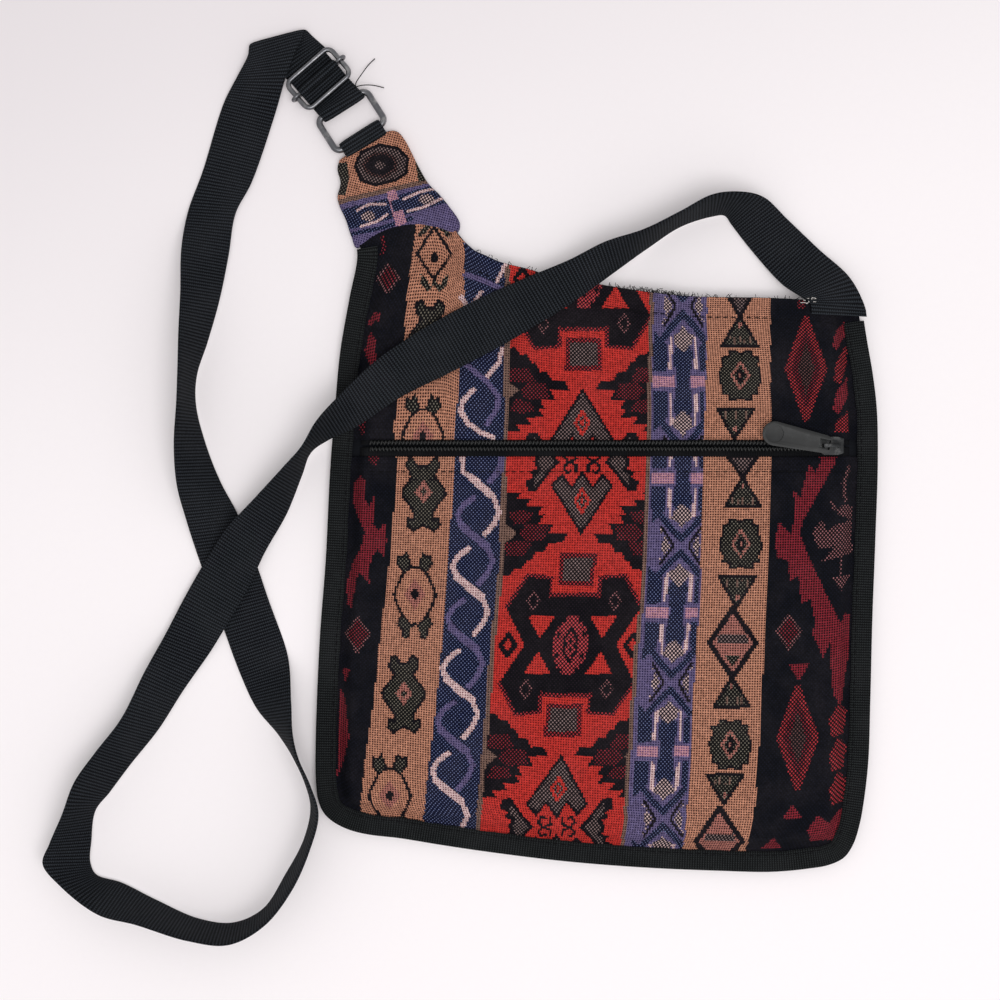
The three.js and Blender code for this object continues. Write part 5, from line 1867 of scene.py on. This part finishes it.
@dataclass(frozen=True)
class EdgeBinding:
    """Ribbed tape folded over the sewn edge, with its stitches.

    Attributes:
        width: Width of each leg in millimetres.
        wall: Thickness of the tape.
        fold: How far the fold stands off the cloth.
        top: Height of the upper leg.
        spacing: Distance between the rings of the surface.
        soft: Radius of the fold's corners.
        seam: Distance of the stitches from the upper leg's edge.
        stitch: Pitch, length and thickness of the stitches.
    """

    width: float = 8.2
    wall: float = 0.6
    fold: float = 1.0
    top: float = 4.3
    spacing: float = 0.7
    soft: float = 0.8
    seam: float = 1.5
    stitch: tuple[float, float, float] = (3.0, 2.2, 0.42)

    def profile(self) -> Array:
        """Returns the section: out along the lower leg, round the fold by quarter circles, back inside.

        Returns:
            Distances inwards from the fold, and heights.
        """
        soft = self.soft
        quarter = np.linspace(0, np.pi / 2, 5)
        low = np.stack([soft - soft * np.sin(quarter), soft - soft * np.cos(quarter)], 1)
        high = np.stack([soft - soft * np.cos(quarter), self.top - soft + soft * np.sin(quarter)], 1)
        legs = np.linspace(self.width - 0.25, soft + 0.6, 7)
        lower = np.stack([legs, np.zeros(7)], 1)
        upper = np.stack([legs[::-1], np.full(7, self.top)], 1)
        ceiling = self.top - self.wall
        inside = np.array(
            [
                [self.width, self.top - 0.2], [self.width - 0.1, ceiling], [self.fold, ceiling],
                [self.fold, self.wall], [self.width - 0.1, self.wall], [self.width, 0.2],
            ]
        )
        return np.vstack([lower, low, high, upper, inside])

    def build(self, tape: Material, thread: Material) -> None:
        """Carries the section along the bag's edge and lays a row of stitches near its inner edge.

        Args:
            tape: The binding's material.
            thread: The stitches' material.
        """
        edge = BagShape().edge()
        start = nearest(edge, BINDING_START)
        stop = nearest(edge, BINDING_STOP)
        run = run_along(edge)
        at = np.linspace(run[start], run[stop], int((run[stop] - run[start]) / self.spacing))
        line = np.stack([np.interp(at, run, edge[:, k]) for k in range(2)], -1)
        tangent = unit(np.gradient(line, axis=0))
        inward = np.stack([-tangent[:, 1], tangent[:, 0]], -1)
        profile = self.profile()
        ripple = 0.12 * np.sin(at * 0.31) + 0.08 * np.sin(at * 0.83 + 1.0)
        reach = profile[None, :, 0] + ripple[:, None] * (profile[None, :, 0] / self.width)
        flat = line[:, None] + reach[..., None] * inward[:, None]
        high = np.broadcast_to(profile[None, :, 1:], (*flat.shape[:2], 1))
        side = run_along(profile) * MM
        numbers = {
            "run": np.repeat((at - at[0]) * MM, len(profile)),
            "side": np.tile(side, len(at)),
        }
        skin = sweep(np.concatenate([flat, high], -1), False, numbers)
        binding = skin.publish("edge_binding_tape", tape, 50)
        level = np.full((len(line), 1), self.top + 0.02)
        seam = np.concatenate([line + inward * (self.width - self.seam), level], -1)
        stitches = stitch_row(seam, *self.stitch).publish("edge_binding_stitches", thread)
        for piece in (binding, stitches):
            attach(piece, "bag")
        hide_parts("edge_binding")


def cosine_sine(degrees: float) -> tuple[float, float]:
    """Returns the cosine and sine of an angle in degrees."""
    return np.cos(np.radians(degrees)), np.sin(np.radians(degrees))


def turned(points: Array, centre: tuple[float, float], degrees: float, height: float) -> Array:
    """Turns points about Z and moves them: the usual cosine and sine pair, then the offset.

    Args:
        points: Points about the origin.
        centre: Where the origin goes.
        degrees: The turn.
        height: How far they are lifted.

    Returns:
        The points in place.
    """
    c, s = cosine_sine(degrees)
    x = points[..., 0] * c - points[..., 1] * s + centre[0]
    y = points[..., 0] * s + points[..., 1] * c + centre[1]
    return np.stack([x, y, points[..., 2] + height], -1)


def rounded_frame(width: float, height: float, corner: float, steps: int = 12) -> Array:
    """Returns the middle line of a wire rectangle: straight sides joined by four quarter circles.

    Args:
        width: Width between middle lines.
        height: Height between them.
        corner: Radius of a corner.
        steps: Points round a corner.

    Returns:
        The line's points.
    """
    angle = np.linspace(0, np.pi / 2, steps)
    parts = []
    for k, (sx, sy) in enumerate(((1, 1), (-1, 1), (-1, -1), (1, -1))):
        around = angle + k * np.pi / 2
        x = sx * (width / 2 - corner) + corner * np.cos(around)
        y = sy * (height / 2 - corner) + corner * np.sin(around)
        parts.append(np.stack([x, y, np.zeros(steps)], 1))
    return np.vstack(parts)


def rounded_copy(
    node: str, name: str, width: float, finish: Material, body: str
) -> Piece:
    """Copies a metal node of the frame, joins its loose triangles and softens its edges.

    Args:
        node: The CAD node.
        name: Name of the new piece.
        width: Width of the softened edge in millimetres.
        finish: Its material.
        body: The body that it rides on.

    Returns:
        The piece.
    """
    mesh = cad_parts[node].data.copy()
    mesh.name = name
    mesh.materials.clear()
    mesh.materials.append(finish)
    made = bpy.data.objects.new(name, mesh)
    bpy.context.scene.collection.objects.link(made)
    weld = made.modifiers.new("join", "WELD")
    weld.merge_threshold = 0.00001
    bevel = made.modifiers.new("soft_edges", "BEVEL")
    bevel.width = width * MM
    bevel.segments = 3
    bevel.limit_method = "ANGLE"
    bevel.angle_limit = float(np.radians(28))
    bevel.harden_normals = True
    mesh.polygons.foreach_set("use_smooth", np.ones(len(mesh.polygons), bool))
    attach(made, body)
    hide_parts(node)
    return made


@dataclass(frozen=True)
class FrontZip:
    """The zip across the front: tapes, coils, slider and pull.

    Attributes:
        y: Middle of the zip in millimetres.
        left: First tooth.
        right: Last tooth.
        pitch: Distance from tooth to tooth.
        gap: Half the gap between the tapes.
        tape: Width of one tape.
        coil_low: Underside of the coils.
        coil_high: Their top.
        coil_wire: Radius of the coils' wire.
        coil_reach: Half the width of a coil's middle line.
        tape_inset: Distance of the tapes' ends from the bag's edge.
        tape_wall: Thickness of the tapes.
        stitch: Pitch, length and thickness of the cloth's stitches.
    """

    y: float = 57.4
    left: float = -91.5
    right: float = 95.5
    pitch: float = 1.43
    gap: float = 0.55
    tape: float = 9.0
    coil_low: float = 7.2
    coil_high: float = 8.5
    coil_wire: float = 0.40
    coil_reach: float = 0.62
    tape_inset: float = 11.5
    tape_wall: float = 0.4
    stitch: tuple[float, float, float] = (3.1, 2.3, 0.34)

    def build_tape(self, side: int, finish: Material) -> Piece:
        """Builds one tape, level with the cloth's slope at its ends.

        Args:
            side: 1 for the upper tape, -1 for the lower.
            finish: Its material.

        Returns:
            The tape.
        """
        shape = BagShape()
        left, right, _, _ = shape.readers()
        near = self.y + side * self.gap
        far = near + side * self.tape
        t, s = np.meshgrid(np.linspace(0, 1, 13), np.linspace(0, 1, 321), indexing="ij")
        y = min(near, far) + t * self.tape
        x = left(y) + self.tape_inset + s * (right(y) - left(y) - 2 * self.tape_inset)
        z = shape.front_edge + (shape.level - shape.front_edge - shape.cloth) * shape.risen(x, y) - 0.3
        numbers = {"run": x * MM, "side": y * MM}
        skin = closed_sheet(np.stack([x, y, z], -1), self.tape_wall, 1, numbers)
        word = "upper" if side > 0 else "lower"
        made = skin.publish(f"zip_tape_{word}", finish)
        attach(made, "bag")
        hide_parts(f"zipper_tape_{word}")
        return made

    def build_coil(self, side: int, finish: Material) -> Piece:
        """Builds one coil: X grows with the turn, Y and Z follow the turn's cosine and sine, flattened.

        Args:
            side: 1 for the upper coil, -1 for the lower.
            finish: Its material.

        Returns:
            The coil.
        """
        count = int((self.right - self.left) / self.pitch)
        turn = np.linspace(0, count, count * 20 + 1)
        angle = turn * FULL_TURN + (0.0 if side > 0 else np.pi)
        wire, reach = self.coil_wire, self.coil_reach
        middle = (self.coil_low + self.coil_high) / 2
        high = (self.coil_high - self.coil_low) / 2 - wire
        squared = np.sign(np.cos(angle)) * np.abs(np.cos(angle)) ** 0.6
        path = np.stack(
            [
                self.left + turn * self.pitch,
                self.y + side * (self.gap + 0.05 + reach) - side * reach * squared,
                middle + (high + 0.12) * np.sin(angle),
            ],
            -1,
        )
        word = "upper" if side > 0 else "lower"
        made = tube(path, wire, 8, (1.0, 0.0, 0.0)).publish(f"zip_coil_{word}", finish)
        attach(made, "bag")
        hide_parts(f"zipper_teeth_{word}")
        return made

    def build(self, finishes: Mapping[str, Material]) -> None:
        """Builds the whole zip and the stitches that hold the cloth to it.

        Args:
            finishes: Materials by the parts they are for.
        """
        for side in (-1, 1):
            self.build_tape(side, finishes["zip_tape"])
            self.build_coil(side, finishes["coil"])
        slider = rounded_copy("zipper_slider", "zip_slider_body", 0.18, finishes["slider"], "slider")
        pull = rounded_copy("zipper_pull", "zip_pull_plate", 0.22, finishes["pull"], "pull")
        shape = BagShape()
        _, _, _, top = shape.readers()
        low = self.y - shape.lower_lap - shape.zip_seam
        rows = (
            ("zip_stitches", -93.0, 93.0, lambda at: np.full_like(at, low)),
            ("mouth_stitches", -50.0, 97.0, lambda at: top(at) - shape.mouth_seam),
        )
        for name, start, stop, way in rows:
            x = np.linspace(start, stop, 600)
            y = way(x)
            path = np.stack([x, y, shape.front(x, y) - 0.22], -1)
            made = stitch_row(path, *self.stitch).publish(name, finishes["thread"])
            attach(made, "bag")


@dataclass(frozen=True)
class CornerFittings:
    """Tab, webbing loop, wire ring, slide adjuster and the strap's end at the horn.

    Attributes:
        webbing: Width of the webbing in millimetres.
        thick: Its thickness where it is folded.
        ring_wire: Radius of the ring's wire.
        ring_size: Width, height and corner of the ring.
        ring_centre: Middle of the ring.
        ring_turn: Its turn in degrees.
        ring_height: Height of its middle.
        frame_wire: Radius of the adjuster's wire.
        frame_size: Width, height and corner of the adjuster.
        frame_centre: Middle of the adjuster.
        frame_turn: Its turn.
        frame_height: Height of its middle.
        bar_wire: Radius of the adjuster's bar.
        room: Space between webbing and wire.
        eye: Middle radius of the bar's eyes, and radius of their wire.
        rod_lap: How far the bar runs into the eyes' wire.
        tab_middle: Middle of the tab.
    """

    webbing: float = 18.6
    thick: float = 1.0
    ring_wire: float = 1.3
    ring_size: tuple[float, float, float] = (23.0, 15.0, 2.6)
    ring_centre: tuple[float, float] = (-99.2, 187.0)
    ring_turn: float = 32.5
    ring_height: float = 2.6
    frame_wire: float = 1.0
    frame_size: tuple[float, float, float] = (22.6, 13.9, 2.8)
    frame_centre: tuple[float, float] = (-112.15, 203.6)
    frame_turn: float = 41.0
    frame_height: float = 4.0
    bar_wire: float = 0.9
    room: float = 0.3
    eye: tuple[float, float] = (1.95, 0.75)
    rod_lap: float = 0.35
    tab_middle: tuple[float, float] = (-81.5, 160.0)

    def build_ring(self, metal: Material) -> None:
        """Bends the ring's wire.

        Args:
            metal: The wire's material.
        """
        line = turned(rounded_frame(*self.ring_size), self.ring_centre, self.ring_turn, self.ring_height)
        ring = tube(line, self.ring_wire, 20, UP, True).publish("wire_ring", metal)
        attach(ring, "ring_assembly")
        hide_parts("ring")

    def build_adjuster(self, metal: Material) -> None:
        """Bends the adjuster's wire and makes its bar, a rod with a round eye at each end.

        Args:
            metal: The wire's material.
        """
        line = turned(rounded_frame(*self.frame_size), self.frame_centre, self.frame_turn, self.frame_height)
        frame_wire = tube(line, self.frame_wire, 18, UP, True).publish("adjuster_wire", metal)
        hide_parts("adjuster_frame")
        half = self.frame_size[0] / 2
        reach, wire = self.eye
        end = half - reach + self.rod_lap
        rod = np.stack([np.linspace(-end, end, 24), np.zeros(24), np.zeros(24)], -1)
        rod_line = turned(rod, self.frame_centre, self.frame_turn, self.frame_height)
        bar = tube(rod_line, self.bar_wire, 16, UP).publish("adjuster_rod", metal, 50)
        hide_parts("adjuster_bar")
        pieces = [frame_wire, bar]
        angle = np.linspace(0, FULL_TURN, 32, endpoint=False)
        for word, side in (("left", -1), ("right", 1)):
            eye = np.stack([side * half + reach * np.cos(angle), np.zeros(32), reach * np.sin(angle)], -1)
            eye_line = turned(eye, self.frame_centre, self.frame_turn, self.frame_height)
            c, s = cosine_sine(self.frame_turn)
            skin = tube(eye_line, wire, 12, (-s, c, 0.0), True)
            pieces.append(skin.publish(f"adjuster_eye_{word}", metal))
        for piece in pieces:
            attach(piece, "ring_assembly")

    def build_loop(self, webbing: Material) -> None:
        """Folds the loop's webbing round the ring: two level runs joined by a circle about the bar.

        Args:
            webbing: Its material.
        """
        turn = np.radians(np.linspace(118, -118, 28))
        reach = self.ring_wire + self.room + self.thick / 2
        above = [(-11.0, 0.05), (-7.5, 0.05), (-4.8, 0.35), (-2.6, 1.25)]
        below = [(-2.6, -1.45), (-4.8, -1.15), (-7.5, -0.95), (-11.0, -0.95)]
        circle = list(zip(reach * np.cos(turn), reach * np.sin(turn)))
        line = catmull([*above, *circle, *below], 150)
        place = np.stack([np.zeros(len(line)), line[:, 0] - self.ring_size[1] / 2, line[:, 1]], -1)
        path = turned(place, self.ring_centre, self.ring_turn, self.ring_height)
        c, s = cosine_sine(self.ring_turn)
        across = np.broadcast_to(np.array([c, s, 0.0]), path.shape)
        loop = ribbon(path, across, self.webbing, self.thick).publish("ring_webbing_loop", webbing)
        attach(loop, "bag")
        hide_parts("ring_loop")

    def end_line(self, ring_at: float) -> list[tuple[float, float]]:
        """Returns the strap end's way at one side: under the adjuster, round the ring, round the bar.

        Args:
            ring_at: Where the ring's far bar is, along the adjuster's own axis.

        Returns:
            Places along and up.
        """
        half = self.thick / 2
        low = half + 0.2
        turn = self.ring_wire + self.room + half
        bar_turn = self.bar_wire + self.room + half
        under = self.frame_height - self.frame_wire - self.room - half
        near = -self.frame_size[1] / 2
        dip = (near - 1.5, under)
        away = (dip[0] - ring_at, dip[1] - self.ring_height)
        leave = np.arctan2(away[1], away[0]) + np.arccos(turn / np.hypot(*away))
        round_ring = np.linspace(np.radians(270), leave, 24)
        round_bar = np.radians(np.linspace(150, -90, 24))
        return [
            (7.8, low), (5.0, low), (2.0, low), (-1.0, low), (ring_at + 4, low - 0.1),
            *zip(ring_at + turn * np.cos(round_ring), self.ring_height + turn * np.sin(round_ring)),
            dip, (near, under), (near + 1.5, under),
            *zip(bar_turn * np.cos(round_bar), self.frame_height + bar_turn * np.sin(round_bar)),
        ]

    def build_strap_end(self, webbing: Material) -> Piece:
        """Lays the strap's end between its edge lines, which differ as the ring and adjuster lean apart.

        Args:
            webbing: Its material.

        Returns:
            The strap's end.
        """
        lean = np.radians(self.ring_turn - self.frame_turn)
        c, s = cosine_sine(self.ring_turn)
        bar = np.array(self.ring_centre) + np.array([-s, c]) * self.ring_size[1] / 2
        c, s = cosine_sine(self.frame_turn)
        offset = bar - np.array(self.frame_centre)
        across_at = offset[0] * c + offset[1] * s
        up_at = -offset[0] * s + offset[1] * c
        edges = []
        for w in (-self.webbing / 2, self.webbing / 2):
            line = np.array(self.end_line(up_at + (w - across_at) * np.tan(lean)))
            place = np.stack([np.full(len(line), w), line[:, 0], line[:, 1]], -1)
            edges.append(catmull(turned(place, self.frame_centre, self.frame_turn, 0.0), 200))
        middle = (edges[0] + edges[1]) / 2
        width = np.linalg.norm(edges[1] - edges[0], axis=1)
        end = ribbon(middle, unit(edges[1] - edges[0]), width, self.thick).publish("strap_end_fold", webbing)
        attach(end, "ring_assembly")
        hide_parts("strap_end")
        return end

    def build_tab(self, weave: Material) -> None:
        """Builds the tab: scaled outlines, as high as the root of 1 minus the share's tenth power.

        Args:
            weave: Its material.
        """
        outline = catmull([*TAB_POINTS, TAB_POINTS[0]], 241)[:-1]
        middle = np.array(self.tab_middle)
        share = np.concatenate([np.linspace(0.02, 0.94, 56), 1 - 0.06 * (1 - np.linspace(0, 1, 6)) ** 2])
        lift = np.sqrt(np.maximum(0.0, 1 - share**10))
        spread = np.concatenate([share, share[-2::-1]])
        height = np.concatenate([2.15 + 2.1 * lift, 2.15 - 2.1 * lift[-2::-1]])
        flat = middle + spread[:, None, None] * (outline - middle)[None]
        z = np.broadcast_to(height[:, None, None], (*flat.shape[:2], 1))
        rings = np.concatenate([flat, z], -1)
        x, y = rings[..., 0], rings[..., 1]
        slant = (y + x * 0.25) / 1.25
        skin = sweep(rings, False, {"pick": slant, "end": (x - y * 0.25) / 1.0})
        tab = skin.publish("ring_tab_fold", weave)
        cells = grid_faces(len(spread), 240, False, True)
        centre = rings.reshape(-1, 3)[cells].mean(axis=1)
        yarns = StripedPattern().draw_tab(centre[:, 0], centre[:, 1])
        dye(tab, np.concatenate([yarns, np.full(2, YARNS.index(SPECKLED))]))
        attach(tab, "bag")
        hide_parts("ring_tab")

    def build_threads(self, thread: Material) -> list[Piece]:
        """Lays two loose sewing threads beside the ring.

        Args:
            thread: Their material.

        Returns:
            The threads.
        """
        routes = {
            "loose_thread_long": (
                (-97.6, 200.6, 3.4), (-97.2, 201.8, 4.6), (-94.8, 206.0, 3.2), (-92.6, 209.6, 1.2),
                (-90.0, 212.4, 0.5),
            ),
            "loose_thread_short": (
                (-97.4, 200.4, 3.4), (-95.2, 200.9, 4.0), (-91.0, 201.4, 2.2), (-86.4, 200.8, 0.5),
            ),
        }
        made = []
        for name, knots in routes.items():
            piece = tube(catmull(knots, 60), 0.2, 8, UP).publish(name, thread)
            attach(piece, "ring_assembly")
            made.append(piece)
        return made


@dataclass(frozen=True)
class FrayedEdges:
    """Fibres that stand out of the mouth's edge and the strap's sewn corner.

    Attributes:
        seed: Start of the scatter.
        even: Dark fibres spread evenly along the mouth.
        bunched: Dark fibres bunched about its middle.
        pale: Pale fibres at the strap's corner.
        radius: Radius of a dark fibre and of a pale one.
    """

    seed: int = 7
    even: int = 90
    bunched: int = 110
    pale: int = 10
    radius: tuple[float, float] = (0.11, 0.13)

    def fibres(self, roots: Array, tips: Array, bow: Array, radius: float) -> Skin:
        """Returns bent fibres: root to tip in a straight share plus a bow that is zero at both ends.

        Args:
            roots: Start of each fibre.
            tips: End of each fibre.
            bow: Sideways reach of each fibre at its middle.
            radius: Radius of a fibre.

        Returns:
            The skin of all the fibres.
        """
        share = np.linspace(0, 1, 6)
        line = roots[:, None] + (tips - roots)[:, None] * share[None, :, None]
        line = line + bow[:, None] * (4 * share * (1 - share))[None, :, None]
        along = unit(tips - roots)
        side = unit(np.cross(along, np.array([0.02, 0.01, 1.0])))
        up = np.cross(side, along)
        angle = np.arange(4) * (FULL_TURN / 4)
        circle = np.cos(angle)[:, None] * side[:, None] + np.sin(angle)[:, None] * up[:, None]
        rings = line[:, :, None] + radius * circle[:, None]
        offsets = (np.arange(len(roots)) * 24)[:, None, None]
        quads = grid_faces(6, 4, False, True)
        caps = np.stack([np.arange(4)[::-1], np.arange(4) + 20])
        faces = [(quads[None] + offsets).reshape(-1, 4), (caps[None] + offsets).reshape(-1, 4)]
        return Skin(rings.reshape(-1, 3), [np.concatenate(faces)])

    def build(self, dark: Material, pale: Material) -> None:
        """Scatters dark fibres along the mouth's edge and a few pale ones at the strap's corner.

        Args:
            dark: Material of the dark fibres.
            pale: Material of the pale ones.
        """
        shape = BagShape()
        _, _, _, top = shape.readers()
        scatter = np.random.default_rng(self.seed)
        count = self.even + self.bunched
        x = np.concatenate([scatter.uniform(-50, 100, self.even), scatter.normal(22, 9, self.bunched)])
        y = top(x) + scatter.uniform(-0.6, 0.1, count)
        roots = np.stack([x, y, shape.front(x, y) - 0.3], -1)
        reach = scatter.uniform(0.4, 1.9, count)
        lean = scatter.normal(0, 0.7, count)
        tips = roots + np.stack([lean * reach, reach, scatter.normal(-0.3, 0.5, count)], -1)
        bow = scatter.normal(0, 0.35, (count, 3))
        fuzz = self.fibres(roots, tips, bow, self.radius[0]).publish("mouth_edge_fibres", dark)
        few = self.pale
        corner_x = scatter.uniform(79.5, 85.5, few)
        corner_y = scatter.uniform(113.6, 115.8, few)
        start = np.stack([corner_x, corner_y, np.full(few, 10.3)], -1)
        way = scatter.normal(0, 1.0, (few, 3)) * np.array([0.9, 0.45, 0.2])
        finish = start + way + np.array([0.0, 0.3, 0.3])
        bend = scatter.normal(0, 0.4, (few, 3)) * np.array([1, 1, 0.2])
        white = self.fibres(start, finish, bend, self.radius[1]).publish("strap_corner_fibres", pale)
        for piece in (fuzz, white):
            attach(piece, "bag")


def main() -> None:
    """Builds the camera, the strap, the cloth, the edges, the zip, the fittings and the table in turn."""
    logging.basicConfig(level=logging.INFO, format="%(message)s")
    studio = Studio()
    studio.place_camera()
    webbing = STRAP_WEBBING.build()
    weave = STRIPED_WEAVE.build()
    thread = BLACK_THREAD.build()
    metal = GUNMETAL.build()
    fittings = CornerFittings()
    strap = ShoulderStrap()
    made, middle = strap.build(webbing)
    end = fittings.build_strap_end(webbing)
    threads = fittings.build_threads(thread)
    strap.declare(made)
    ClothBody().build(weave, LINING_CLOTH.build())
    EdgeBinding().build(BINDING_TAPE.build(), thread)
    finishes = {
        "zip_tape": ZIP_TAPE.build(), "coil": COIL_NYLON.build(), "slider": SLIDER_METAL.build(),
        "pull": PULL_METAL.build(), "thread": thread,
    }
    FrontZip().build(finishes)
    fittings.build_ring(metal)
    fittings.build_adjuster(metal)
    fittings.build_loop(webbing)
    fittings.build_tab(weave)
    FrayedEdges().build(thread, WHITE_THREAD.build())
    studio.light()
    studio.lay_table()


if __name__ == "__main__":
    main()
